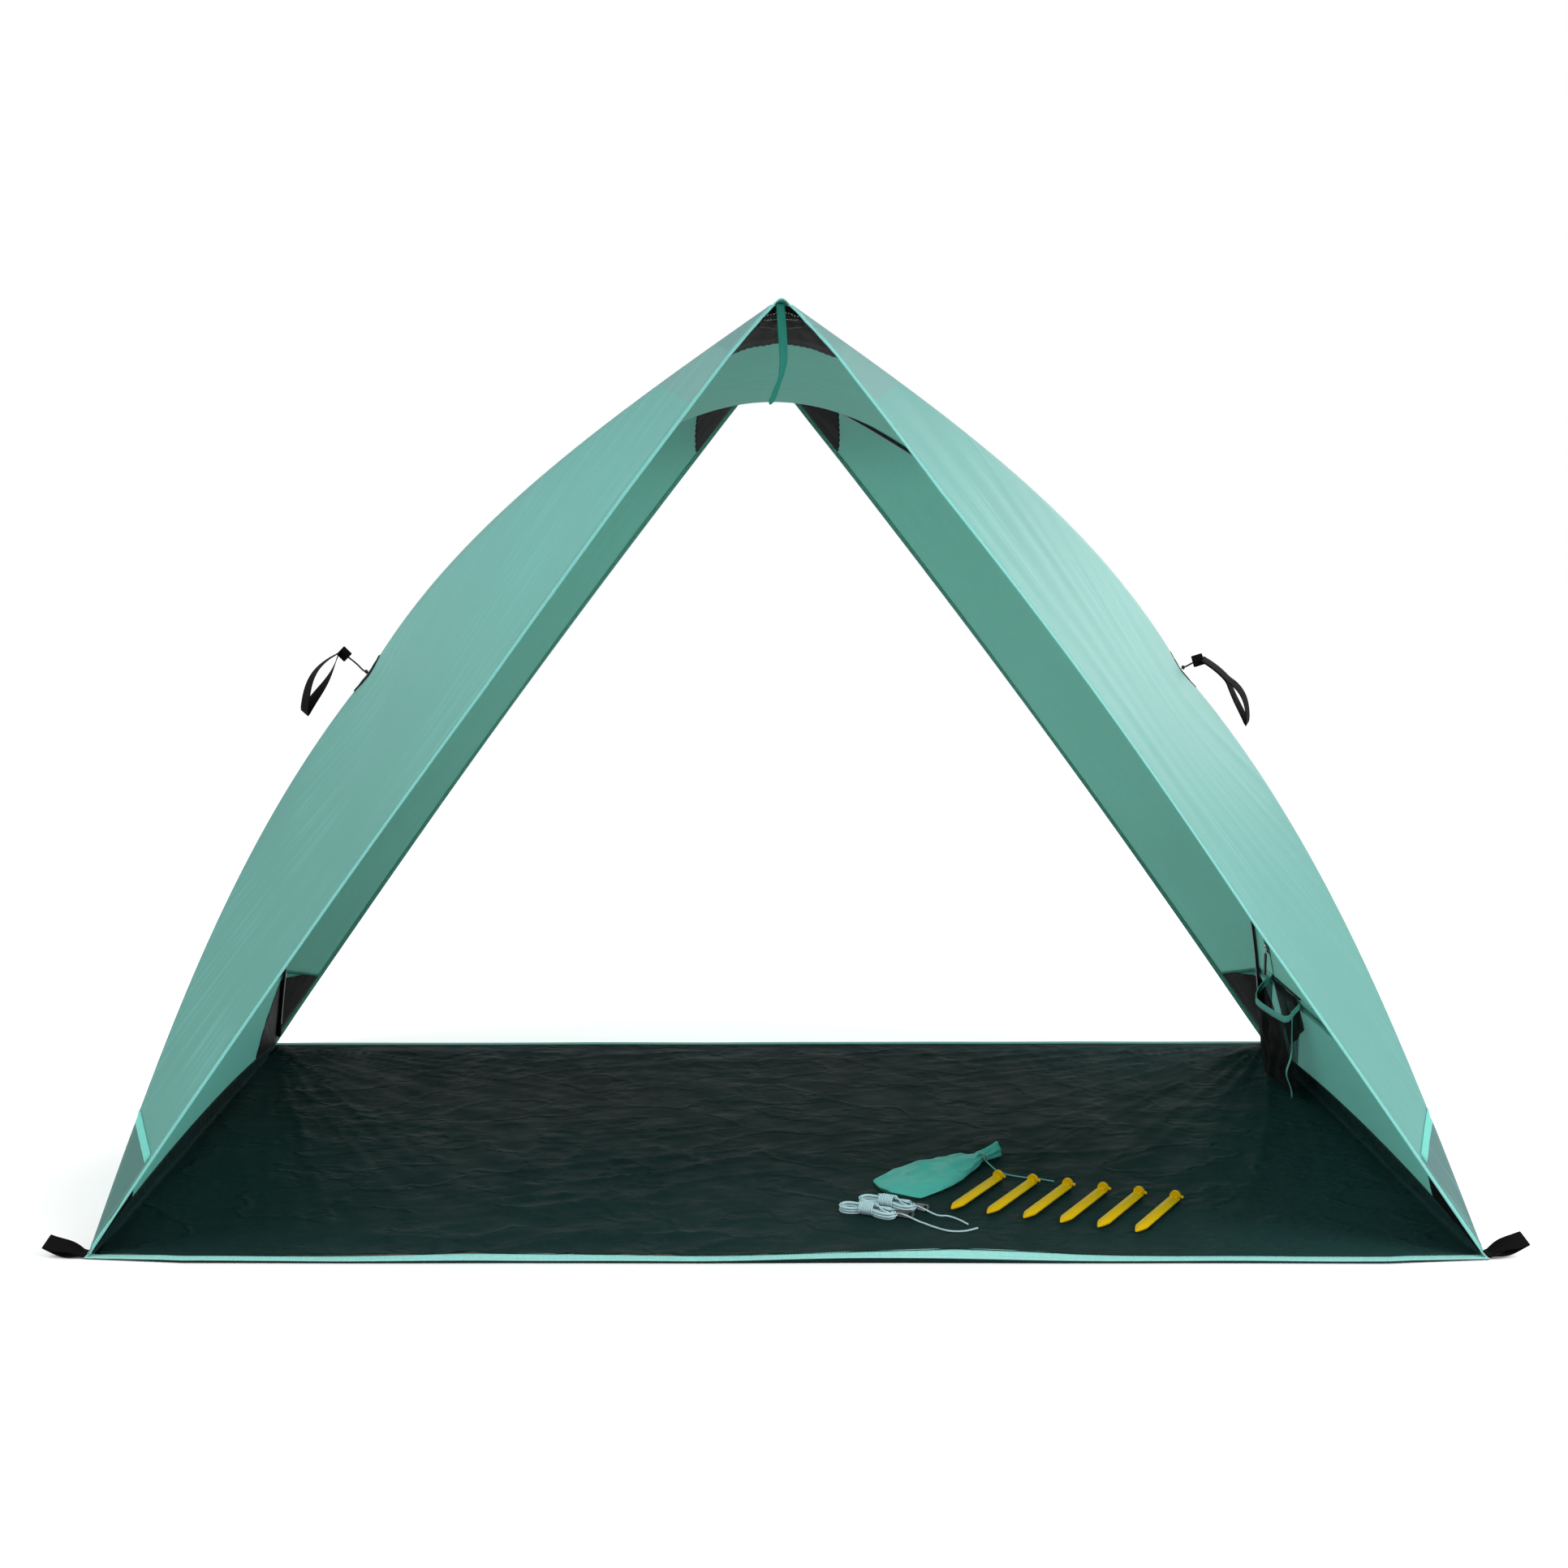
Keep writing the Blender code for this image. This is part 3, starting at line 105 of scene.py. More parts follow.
# Small parts on the groundsheet
GUY_RADIUS = 0.0015
HANK_YAW = math.radians(-24.4)
HANK_A_CENTRE = Vector((0.1830, -0.3790, 0))
HANK_B_CENTRE = Vector((0.1480, -0.4120, 0))
GUY_TAIL_A_PLACES = ((0.2620, -0.4220), (0.2800, -0.4260), (0.2960, -0.4420), (0.3080, -0.4620))
GUY_TAIL_B_PLACES = ((0.2320, -0.4530), (0.2500, -0.4720), (0.2730, -0.4900), (0.2980, -0.4910),
                     (0.3220, -0.4780))
PEG_COUNT = 6
PEG_LENGTH = 0.185
PEG_WIDTH = 0.0192
PEG_HEAD_RADIUS = 0.0092
PEG_YAW = math.radians(56.6)
FIRST_PEG_TIP = Vector((0.287, -0.406, 0))
PEG_STEP = Vector((0.0570, -0.0198, 0))
POUCH_LENGTH = 0.217
POUCH_WIDTH = 0.120
POUCH_HEIGHT = 0.034
POUCH_NECK = 0.016
POUCH_BASE = Vector((0.2045, -0.3035, 0))
POUCH_YAW = math.radians(41.4)
DRAWCORD_RADIUS = 0.0014


# The camera stands where the photograph was taken from

CAMERA_PLACE = Vector((-0.0700837, -3.3404004, 1.1401097))
CAMERA_TILT = 0.140398
CAMERA_PAN = -0.0172368
CAMERA_ROLL = -0.0064377
PHOTO_SIDE = 1932
FOCAL_PIXELS = 2259.04
CENTRE_PIXEL_X = 867.36
SENSOR = 36.0


def add_camera():
    level = math.cos(CAMERA_TILT)
    forward = Vector((math.sin(CAMERA_PAN) * level, math.cos(CAMERA_PAN) * level, -math.sin(CAMERA_TILT)))
    right = Vector((math.cos(CAMERA_PAN), -math.sin(CAMERA_PAN), 0))
    up = right.cross(forward)
    rolled_right = right * math.cos(CAMERA_ROLL) + up * math.sin(CAMERA_ROLL)
    rolled_up = up * math.cos(CAMERA_ROLL) - right * math.sin(CAMERA_ROLL)
    turn = Matrix((rolled_right, rolled_up, -forward)).transposed().to_4x4()
    data = bpy.data.cameras.new("camera")
    data.sensor_width = SENSOR
    data.lens = FOCAL_PIXELS / PHOTO_SIDE * SENSOR
    data.shift_x = (PHOTO_SIDE / 2 - CENTRE_PIXEL_X) / PHOTO_SIDE
    camera = bpy.data.objects.new("camera", data)
    camera.matrix_world = Matrix.Translation(CAMERA_PLACE) @ turn
    bpy.context.scene.collection.objects.link(camera)
    bpy.context.scene.camera = camera
    bpy.context.scene.view_settings.view_transform = "Standard"


add_camera()


# Building materials out of nodes

CLOTH_MAP = "cloth"


class Wiring:
    """Adds nodes to one tree. A value is a socket to link, or a constant to set."""

    def __init__(self, tree):
        self.tree = tree

    def put(self, socket, value):
        if isinstance(value, bpy.types.NodeSocket):
            self.tree.links.new(value, socket)
        else:
            socket.default_value = value

    def add(self, kind, values=None, **settings):
        node = self.tree.nodes.new(kind)
        for key, value in settings.items():
            setattr(node, key, value)
        for key, value in (values or {}).items():
            self.put(node.inputs[key], value)
        return node

    def math(self, operation, *values):
        node = self.add("ShaderNodeMath", operation=operation)
        for socket, value in zip(node.inputs, values):
            self.put(socket, value)
        return node.outputs[0]

    def blend(self, factor, low, high):
        node = self.add("ShaderNodeMix", data_type="RGBA")
        for socket, value in zip((node.inputs[0], node.inputs[6], node.inputs[7]), (factor, low, high)):
            self.put(socket, value)
        return node.outputs[2]

    def spread(self, value, from_low, from_high, to_low=0.0, to_high=1.0):
        node = self.add("ShaderNodeMapRange", interpolation_type="SMOOTHSTEP")
        for socket, number in zip(node.inputs, (value, from_low, from_high, to_low, to_high)):
            self.put(socket, number)
        return node.outputs[0]

    def grain(self, vector, scale, detail, stretch=(1, 1, 1)):
        mapped = self.add("ShaderNodeMapping", {"Vector": vector, "Scale": stretch}).outputs[0]
        node = self.add("ShaderNodeTexNoise", {"Vector": mapped, "Scale": scale, "Detail": detail})
        return node.outputs[0]

    def split(self, vector):
        """The X, Y and Z of a vector, as three sockets."""
        return self.add("ShaderNodeSeparateXYZ", {"Vector": vector}).outputs

    def cloth_map(self):
        return self.add("ShaderNodeUVMap", uv_map=CLOTH_MAP).outputs[0]

    def on_object(self):
        return self.add("ShaderNodeTexCoord").outputs["Object"]


def new_group(name, inputs, outputs):
    """An empty shader node group with named sockets, its wiring, and its inner ends."""
    tree = bpy.data.node_groups.new(name, "ShaderNodeTree")
    for label, kind, default in inputs:
        socket = tree.interface.new_socket(name=label, in_out="INPUT", socket_type="NodeSocket" + kind)
        if default is not None:
            socket.default_value = default
    for label, kind in outputs:
        tree.interface.new_socket(name=label, in_out="OUTPUT", socket_type="NodeSocket" + kind)
    wiring = Wiring(tree)
    return tree, wiring, wiring.add("NodeGroupInput").outputs, wiring.add("NodeGroupOutput").inputs


YARNS = 1600.0
SLUB_LONG = 60
SLUB_FINE = 1400


def woven_cloth_group():
    """Warp and weft yarns on a map in metres: a height for the bump and a shade for the colour."""
    tree, w, given, made = new_group(
        "woven cloth",
        [("Map", "Vector", None), ("Yarns per metre", "Float", YARNS), ("Slub", "Float", 0.5)],
        [("Height", "Float"), ("Shade", "Float")])
    place = w.split(given["Map"])
    turn = w.math("MULTIPLY", given["Yarns per metre"], math.pi)
    warp, weft = (w.math("ABSOLUTE", w.math("SINE", w.math("MULTIPLY", way, turn))) for way in place[:2])
    slub_along = w.grain(given["Map"], 1.0, 2.0, (SLUB_LONG, SLUB_FINE, 1))
    slub_across = w.grain(given["Map"], 1.0, 2.0, (SLUB_FINE, SLUB_LONG, 1))
    slub = w.math("ADD", slub_along, slub_across)
    weave = w.math("MULTIPLY", w.math("ADD", warp, weft), 0.5)
    w.put(made["Height"], w.math("ADD", weave, w.math("MULTIPLY", slub, given["Slub"])))
    w.put(made["Shade"], w.spread(slub, 0.6, 1.4))
    return tree


def patch_zone_group():
    """Where a sewn patch lies behind the cloth, by how far along and back from its corner a place is."""
    tree, w, given, made = new_group(
        "patch zone", [("Along", "Float", 0.0), ("Back", "Float", 0.0), ("Along limit", "Float", 0.1),
                       ("Back limit", "Float", 0.1), ("Slant limit", "Float", 0.2)],
        [("Mask", "Float")])
    along = w.math("SUBTRACT", given["Along"], given["Along limit"])
    back = w.math("SUBTRACT", given["Back"], given["Back limit"])
    slant = w.math("SUBTRACT", w.math("ADD", given["Along"], given["Back"]), given["Slant limit"])
    outside = w.math("MAXIMUM", w.math("MAXIMUM", along, back), slant)
    w.put(made["Mask"], w.spread(outside, 0.001, -0.001))
    return tree


def uneven_group():
    """Slow unevenness of dye and soiling over a surface, from 0 to 1."""
    tree, w, given, made = new_group(
        "uneven", [("Place", "Vector", None), ("Scale", "Float", 4.0)], [("Mask", "Float")])
    coarse = w.grain(given["Place"], given["Scale"], 4.0)
    w.put(made["Mask"], w.spread(coarse, 0.3, 0.7))
    return tree


def braid_group():
    """Strands of a braided cord or webbing on a map of length and breadth: a height and a shade."""
    tree, w, given, made = new_group(
        "braid", [("Map", "Vector", None), ("Strands per metre", "Float", 700.0), ("Round", "Float", 8.0)],
        [("Height", "Float"), ("Shade", "Float")])
    place = w.split(given["Map"])
    run = w.math("MULTIPLY", place[0], w.math("MULTIPLY", given["Strands per metre"], math.tau))
    turn = w.math("MULTIPLY", place[1], w.math("MULTIPLY", given["Round"], math.tau))
    left = w.math("SINE", w.math("ADD", run, turn))
    right = w.math("SINE", w.math("SUBTRACT", run, turn))
    strand = w.math("MAXIMUM", left, right)
    w.put(made["Height"], strand)
    w.put(made["Shade"], w.spread(strand, -0.2, 1.0))
    return tree


WOVEN = woven_cloth_group()
PATCH_ZONE = patch_zone_group()
UNEVEN = uneven_group()
BRAID = braid_group()


def new_material(name, roughness, specular):
    material = bpy.data.materials.new(name)
    material.use_nodes = True
    shader = material.node_tree.nodes["Principled BSDF"]
    shader.inputs["Roughness"].default_value = roughness
    shader.inputs["Specular IOR Level"].default_value = specular
    return material, Wiring(material.node_tree), shader


def place_group(w, tree, **values):
    node = w.add("ShaderNodeGroup")
    node.node_tree = tree
    for label, value in values.items():
        w.put(node.inputs[label.replace("_", " ").capitalize()], value)
    return node.outputs


def bump(w, shader, height, strength, distance):
    node = w.add("ShaderNodeBump", {"Height": height, "Strength": strength, "Distance": distance})
    w.put(shader.inputs["Normal"], node.outputs[0])


def shade_of(colour, factor):
    return tuple(min(channel * factor, 1.0) for channel in colour[:3]) + (1.0,)


# Places in the object's own metres, and shares of a colour, for the shading of the cloth

PATCH_SHOW_THROUGH = 0.62
PATCH_TINT = (0.215, 0.375, 0.375, 1)
PATCH_DARK = (0.040, 0.110, 0.115, 1)
FOOT_PATCH_SHARE = 0.58
FOOT_PATCH_HEIGHTS = (0.5, 0.3)
SHADOW_TEAL = (0.020, 0.200, 0.150, 1)
RIDGE_SHADE_HEIGHTS = (1.20, 1.35)
FOOT_SHADE_HEIGHTS = (1.15, 0.60)
FOOT_SHADE_SIDES = (0.0, -0.4)
DYE_SCALE = 3.0
DYE_SHARE = 0.10
PULL_STRETCH = (3.0, 100.0, 1)
PULL_HIGHLIGHT_SHARE = 0.30
GLOSS_CHANGE = 0.06


def cloth_finish(name, colour, roughness, sheen=0.0, yarns=YARNS, contrast=0.06, rough_bump=0.25,
                 patches=False, specular=0.18, glow=0.0, pulls=0.0, ridge_shade=0.0, foot_shade=0.0):
    """Woven cloth, with slow unevenness, the darker zones where patches lie behind it, painted shade near the
    ridge and at the foot of the left wall, and painted highlights along the pulls.
    """
    material, w, shader = new_material(name, roughness, specular)
    cloth_map, place = w.cloth_map(), w.on_object()
    weave = place_group(w, WOVEN, map=cloth_map, yarns_per_metre=yarns)
    cloud = place_group(w, UNEVEN, place=place, scale=DYE_SCALE)["Mask"]
    base = w.blend(weave["Shade"], shade_of(colour, 1 - contrast), shade_of(colour, 1 + contrast))
    base = w.blend(w.math("MULTIPLY", cloud, DYE_SHARE), base, shade_of(colour, 0.80))
    if patches:
        zone = patch_zones(w, cloth_map)
        base = w.blend(w.math("MULTIPLY", zone, PATCH_SHOW_THROUGH), base, PATCH_TINT)
        near_foot = w.math("MULTIPLY", zone, w.spread(w.split(place)[2], *FOOT_PATCH_HEIGHTS))
        base = w.blend(w.math("MULTIPLY", near_foot, FOOT_PATCH_SHARE), base, PATCH_DARK)
    if ridge_shade or foot_shade:
        spot = w.split(place)
        shade = w.math("MULTIPLY", w.spread(spot[2], *RIDGE_SHADE_HEIGHTS), ridge_shade)
        low = w.math("MULTIPLY", w.spread(spot[2], *FOOT_SHADE_HEIGHTS),
                     w.spread(spot[0], *FOOT_SHADE_SIDES, 0.0, foot_shade))
        base = w.blend(w.math("ADD", shade, low), base, SHADOW_TEAL)
    # Painted highlight: streaks along the pulls of the cloth are mixed lighter into the colour. The same
    # streaks also raise the bump.
    streak = w.spread(w.grain(cloth_map, 1.0, 3.0, PULL_STRETCH), 0.42, 0.68)
    streak = w.math("MULTIPLY", streak, w.spread(w.grain(cloth_map, 3.2, 2.0), 0.42, 0.62))
    base = w.blend(w.math("MULTIPLY", streak, pulls * PULL_HIGHLIGHT_SHARE), base, shade_of(colour, 1.30))
    w.put(shader.inputs["Base Color"], base)
    rough = w.spread(weave["Shade"], 0.0, 1.0, roughness - GLOSS_CHANGE, roughness + GLOSS_CHANGE)
    w.put(shader.inputs["Roughness"], rough)
    shader.inputs["Sheen Weight"].default_value = sheen
    shader.inputs["Sheen Roughness"].default_value = 0.5
    fine = w.math("MULTIPLY", weave["Height"], 0.5)
    crease = w.math("MULTIPLY", w.grain(place, 34.0, 4.0), rough_bump * 6)
    relief = w.math("ADD", w.math("ADD", fine, crease), w.math("MULTIPLY", streak, pulls * 5))
    bump(w, shader, relief, rough_bump, 0.0004)
    if glow:
        let_light_through(w, shader, base, glow)
    return material


def let_light_through(w, shader, colour, share):
    """Mixes in light that comes through thin cloth from its other side."""
    through = w.add("ShaderNodeBsdfTranslucent", {"Color": w.blend(0.30, colour, (1, 1, 1, 1))})
    mix = w.add("ShaderNodeMixShader", {0: share, 1: shader.outputs[0], 2: through.outputs[0]})
    output = next(node for node in w.tree.nodes if node.type == "OUTPUT_MATERIAL")
    w.put(output.inputs["Surface"], mix.outputs[0])


def patch_zones(w, cloth_map):
    """The zones of the two peak patches and of the corner patches, on the map of the flat cloth."""
    place = w.split(cloth_map)
    from_ridge = w.math("ABSOLUTE", place[0])
    from_foot = w.math("SUBTRACT", SLOPE, from_ridge)
    from_front = place[1]
    from_rear = w.math("SUBTRACT", GROUND_DEPTH, from_front)
    corner = (CORNER_PATCH_RISE, CORNER_PATCH_RUN, CORNER_PATCH_RISE + CORNER_PATCH_RUN - CORNER_PATCH_ROUND)
    found = 0.0
    for back, drop, depth in ((from_front, FRONT_ZONE_DROP, FRONT_ZONE_DEPTH),
                              (from_rear, REAR_PATCH_DROP, APEX_PATCH_DEPTH)):
        peak = (drop, depth, drop + depth - APEX_PATCH_ROUND)
        for along, limits in ((from_ridge, peak), (from_foot, corner)):
            zone = place_group(w, PATCH_ZONE, along=along, back=back, along_limit=limits[0],
                               back_limit=limits[1], slant_limit=limits[2])["Mask"]
            found = w.math("MAXIMUM", zone, found)
    return found


def plain_finish(name, colour, roughness, grain_scale=400.0, grain_strength=0.15, metallic=0.0, coat=0.0,
                 worn=1.25, specular=0.5):
    """Moulded plastic, metal or lacquer: a fine grain, slightly uneven gloss, and edges rubbed lighter."""
    material, w, shader = new_material(name, roughness, specular)
    place = w.on_object()
    cloud = place_group(w, UNEVEN, place=place, scale=30.0)["Mask"]
    fine = w.grain(place, grain_scale, 3.0)
    edge = w.spread(w.add("ShaderNodeNewGeometry").outputs["Pointiness"], 0.52, 0.60)
    base = w.blend(w.math("MULTIPLY", cloud, 0.25), colour, shade_of(colour, 0.85))
    w.put(shader.inputs["Base Color"], w.blend(w.math("MULTIPLY", edge, 0.4), base, shade_of(colour, worn)))
    w.put(shader.inputs["Roughness"], w.spread(fine, 0.3, 0.7, roughness * 0.85, min(roughness * 1.2, 1.0)))
    shader.inputs["Metallic"].default_value = metallic
    shader.inputs["Coat Weight"].default_value = coat
    shader.inputs["Coat Roughness"].default_value = 0.12
    bump(w, shader, fine, grain_strength, 0.0002)
    return material


def braid_finish(name, colour, roughness, strands, round_count, depth=0.6, specular=0.3, sheen=0.06):
    """Braided cord and ribbed webbing, on a map of length and breadth."""
    material, w, shader = new_material(name, roughness, specular)
    braid = place_group(w, BRAID, map=w.cloth_map(), strands_per_metre=strands, round=round_count)
    base = w.blend(braid["Shade"], shade_of(colour, 0.78), shade_of(colour, 1.08))
    w.put(shader.inputs["Base Color"], base)
    shader.inputs["Sheen Weight"].default_value = sheen
    bump(w, shader, braid["Height"], depth, 0.0003)
    return material


SHEET_GREEN = (0.0070, 0.0205, 0.0195, 1)
# Painted sheen: brown mixed into the dark sheet in patches, more towards the rear.
SHEET_BROWN_SHEEN = (0.0150, 0.0150, 0.0138, 1)
SHEET_GLOSS = (0.36, 0.56)
BROWN_SHEEN_FROM_FRONT_TO_REAR = (-0.35, 0.35, 0.15, 1.0)
LIGHT_FROM_MIDDLE_TO_RIGHT = (0.35, 1.0, 0.0, 0.9)


def groundsheet_finish():
    """Coated dark cloth, half glossy, crumpled finely, with a patchy painted brown sheen where the light
    would catch its backing, stronger towards the rear, and painted light towards the right.
    """
    material, w, shader = new_material("groundsheet_cloth", 0.6, 0.008)
    place = w.on_object()
    spot = w.split(place)
    weave = place_group(w, WOVEN, map=w.cloth_map(), yarns_per_metre=1300.0)
    cloud = place_group(w, UNEVEN, place=place, scale=2.2)["Mask"]
    rear = w.spread(spot[1], *BROWN_SHEEN_FROM_FRONT_TO_REAR)
    base = w.blend(w.math("MULTIPLY", cloud, rear), SHEET_GREEN, SHEET_BROWN_SHEEN)
    # Painted light: the sheet is made lighter towards its right side.
    base = w.blend(w.spread(spot[0], *LIGHT_FROM_MIDDLE_TO_RIGHT), base, shade_of(SHEET_GREEN, 2.8))
    w.put(shader.inputs["Base Color"], w.blend(weave["Shade"], base, shade_of(SHEET_GREEN, 1.35)))
    crumple = w.grain(place, 15.0, 6.0, (0.8, 1, 1))
    folds = w.math("SUBTRACT", w.grain(place, 7.0, 4.0, (0.7, 1, 1)), 0.5)
    crease = w.spread(w.math("ABSOLUTE", folds), 0.05, 0.0)
    w.put(shader.inputs["Roughness"], w.spread(crumple, 0.3, 0.7, *SHEET_GLOSS))
    height = w.math("ADD", w.math("MULTIPLY", crumple, 5.0), w.math("MULTIPLY", weave["Height"], 0.08))
    bump(w, shader, w.math("ADD", height, w.math("MULTIPLY", crease, 2.0)), 0.8, 0.0013)
    return material


NET_HOLES_PER_METRE = 620.0
NET_DARK = (0.004, 0.005, 0.005, 1)
NET_BLACK = (0.012, 0.014, 0.014, 1)


def net_finish():
    """Knitted net: threads round small open holes."""
    material, w, shader = new_material("pocket_net", 0.7, 0.05)
    cells = w.add("ShaderNodeTexVoronoi",
                  {"Vector": w.cloth_map(), "Scale": NET_HOLES_PER_METRE, "Randomness": 0.15},
                  feature="DISTANCE_TO_EDGE", voronoi_dimensions="2D")
    thread = w.spread(cells.outputs["Distance"], 0.27, 0.18)
    w.put(shader.inputs["Base Color"], w.blend(thread, NET_DARK, NET_BLACK))
    w.put(shader.inputs["Alpha"], thread)
    return material


# The finishes of this tent

TEAL = (0.160, 0.440, 0.405, 1)
# Painted light: the inner teals are lighter than the outer teal and stand for light coming through the cloth
# into the tent.
TEAL_INNER_PAINTED_LIGHT = (0.160, 0.550, 0.445, 1)
TEAL_SKIRT_INNER_PAINTED_LIGHT = (0.125, 0.520, 0.450, 1)
TEAL_TAPE = (0.130, 0.500, 0.430, 1)
TEAL_EDGE = (0.165, 0.470, 0.430, 1)
TEAL_STRAP = (0.014, 0.150, 0.115, 1)
TEAL_HEM = (0.270, 0.580, 0.540, 1)
TEAL_POUCH = (0.070, 0.430, 0.370, 1)
TEAL_DRAWCORD = (0.130, 0.430, 0.375, 1)
BLACK = (0.0040, 0.0046, 0.0046, 1)
BLACK_WEBBING = (0.0030, 0.0028, 0.0028, 1)
BLACK_GLASS_FIBRE = (0.0075, 0.0080, 0.0080, 1)
YELLOW = (0.730, 0.450, 0.000, 1)
PALE_BLUE = (0.500, 0.700, 0.745, 1)

CLOTH = cloth_finish("canopy_cloth", TEAL, 0.50, sheen=0.10, patches=True, specular=0.35, glow=0.42,
                     pulls=1.0, foot_shade=0.42)
CLOTH_INNER = cloth_finish("canopy_cloth_inner", TEAL_INNER_PAINTED_LIGHT, 0.66, glow=0.52, pulls=0.4, ridge_shade=0.46)
SKIRT_INNER = cloth_finish("skirt_cloth_inner", TEAL_SKIRT_INNER_PAINTED_LIGHT, 0.66, rough_bump=0.6, glow=0.45)
EDGE_TAPE = cloth_finish("edge_tape", TEAL_EDGE, 0.58, yarns=900.0, contrast=0.08)
STRAP_TAPE = cloth_finish("strap_tape", TEAL_STRAP, 0.60, yarns=900.0, contrast=0.15, specular=0.08)
TAPE = cloth_finish("binding_tape", TEAL_TAPE, 0.58, yarns=900.0, contrast=0.10)
HEM_TAPE = cloth_finish("hem_tape", TEAL_HEM, 0.60, yarns=900.0, contrast=0.12, rough_bump=0.5)
BLACK_CLOTH = cloth_finish("black_cloth", BLACK, 0.62, yarns=1200.0, contrast=0.25, rough_bump=0.5,
                           specular=0.10)
WEBBING_FINISH = braid_finish("webbing_black", BLACK_WEBBING, 0.75, 260.0, 9.0, specular=0.06, sheen=0.0)
POUCH_CLOTH = cloth_finish("pouch_cloth", TEAL_POUCH, 0.50, sheen=0.05, rough_bump=0.8)
SHEET_CLOTH = groundsheet_finish()
POLE_FINISH = plain_finish("pole_glass", BLACK_GLASS_FIBRE, 0.30, 900.0, 0.08, coat=0.3)
BLACK_PLASTIC = plain_finish("black_plastic", (0.008, 0.008, 0.009, 1), 0.32, 500.0, 0.2, coat=0.2)
PULL_RUBBER = plain_finish("pull_rubber", (0.010, 0.010, 0.010, 1), 0.55, 900.0, 0.9)
ZIP_METAL = plain_finish("zip_metal", (0.52, 0.53, 0.54, 1), 0.28, 600.0, 0.1, metallic=1.0)
PEG_PLASTIC = plain_finish("peg_plastic", YELLOW, 0.50, 260.0, 0.25, worn=1.1, specular=0.1)
GUY_CORD = braid_finish("guy_cord", PALE_BLUE, 0.72, 330.0, 6.0, 0.5)
DRAWCORD_FINISH = braid_finish("drawcord", TEAL_DRAWCORD, 0.65, 500.0, 5.0)
BLACK_CORD = braid_finish("tie_out_cord", (0.011, 0.011, 0.012, 1), 0.65, 420.0, 6.0)
WHITE_THREAD = plain_finish("thread_white", (0.62, 0.64, 0.62, 1), 0.7)
TEAL_THREAD = plain_finish("thread_teal", (0.240, 0.570, 0.520, 1), 0.7)
BLACK_THREAD = plain_finish("thread_black", (0.020, 0.022, 0.022, 1), 0.7)
NET = net_finish()


# Making meshes


def settle(piece, body, replaced=()):
    """Sets what a finished piece rides on, and the nodes that it stands for."""
    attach(piece, body)
    if replaced:
        piece.name = piece.data.name = replaced[0] + "_dressed"
        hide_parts(*replaced)
    return piece


def take(*pieces):
    """Selects pieces and nothing else, the first of them active."""
    bpy.ops.object.select_all(action="DESELECT")
    for piece in pieces:
        piece.select_set(True)
    bpy.context.view_layer.objects.active = pieces[0]


def new_object(name, mesh):
    piece = bpy.data.objects.new(name, mesh)
    bpy.context.scene.collection.objects.link(piece)
    return piece


def apply_modifier(piece, kind, **settings):
    take(piece)
    modifier = piece.modifiers.new(kind.lower(), kind)
    for key, value in settings.items():
        setattr(modifier, key, value)
    bpy.ops.object.modifier_apply(modifier=modifier.name)
    piece.select_set(False)


def mesh_piece(name, points, faces, uvs, materials, indices=None):
    """A smooth mesh object from points, faces, and a map place for each point."""
    mesh = bpy.data.meshes.new(name)
    mesh.from_pydata([tuple(point) for point in points], [], faces)
    layer = mesh.uv_layers.new(name=CLOTH_MAP)
    corners = np.empty(len(mesh.loops), np.int64)
    mesh.loops.foreach_get("vertex_index", corners)
    layer.data.foreach_set("uv", np.asarray(uvs, np.float32)[corners].ravel())
    for material in materials:
        mesh.materials.append(material)
    if indices is not None:
        mesh.polygons.foreach_set("material_index", indices)
    mesh.shade_smooth()
    return new_object(name, mesh)


def grid_faces(rows, columns, closed=False, slants=None):
    """Faces over a grid of points, front side up. Slants say along which diagonal each cell is cut."""
    faces = []
    for row in range(rows - 1):
        for column in range(columns if closed else columns - 1):
            after = (column + 1) % columns
            a, b = row * columns + column, row * columns + after
            c, d = b + columns, a + columns
            if slants is None:
                faces.append((a, b, c, d))
            elif slants[row, column]:
                faces += [(a, b, c), (a, c, d)]
            else:
                faces += [(a, b, d), (b, c, d)]
    return faces


def sheet_piece(name, points, uvs, thickness, materials, slants=None):
    """A layer of cloth under a grid of points, its outer side on them."""
    rows, columns = points.shape[:2]
    faces = grid_faces(rows, columns, slants=slants)
    piece = mesh_piece(name, points.reshape(-1, 3), faces, uvs.reshape(-1, 2), materials)
    apply_modifier(piece, "SOLIDIFY", thickness=thickness, offset=-1.0,
                   material_offset=len(materials) - 1)
    return piece


# The wall of the tent as a taut cloth


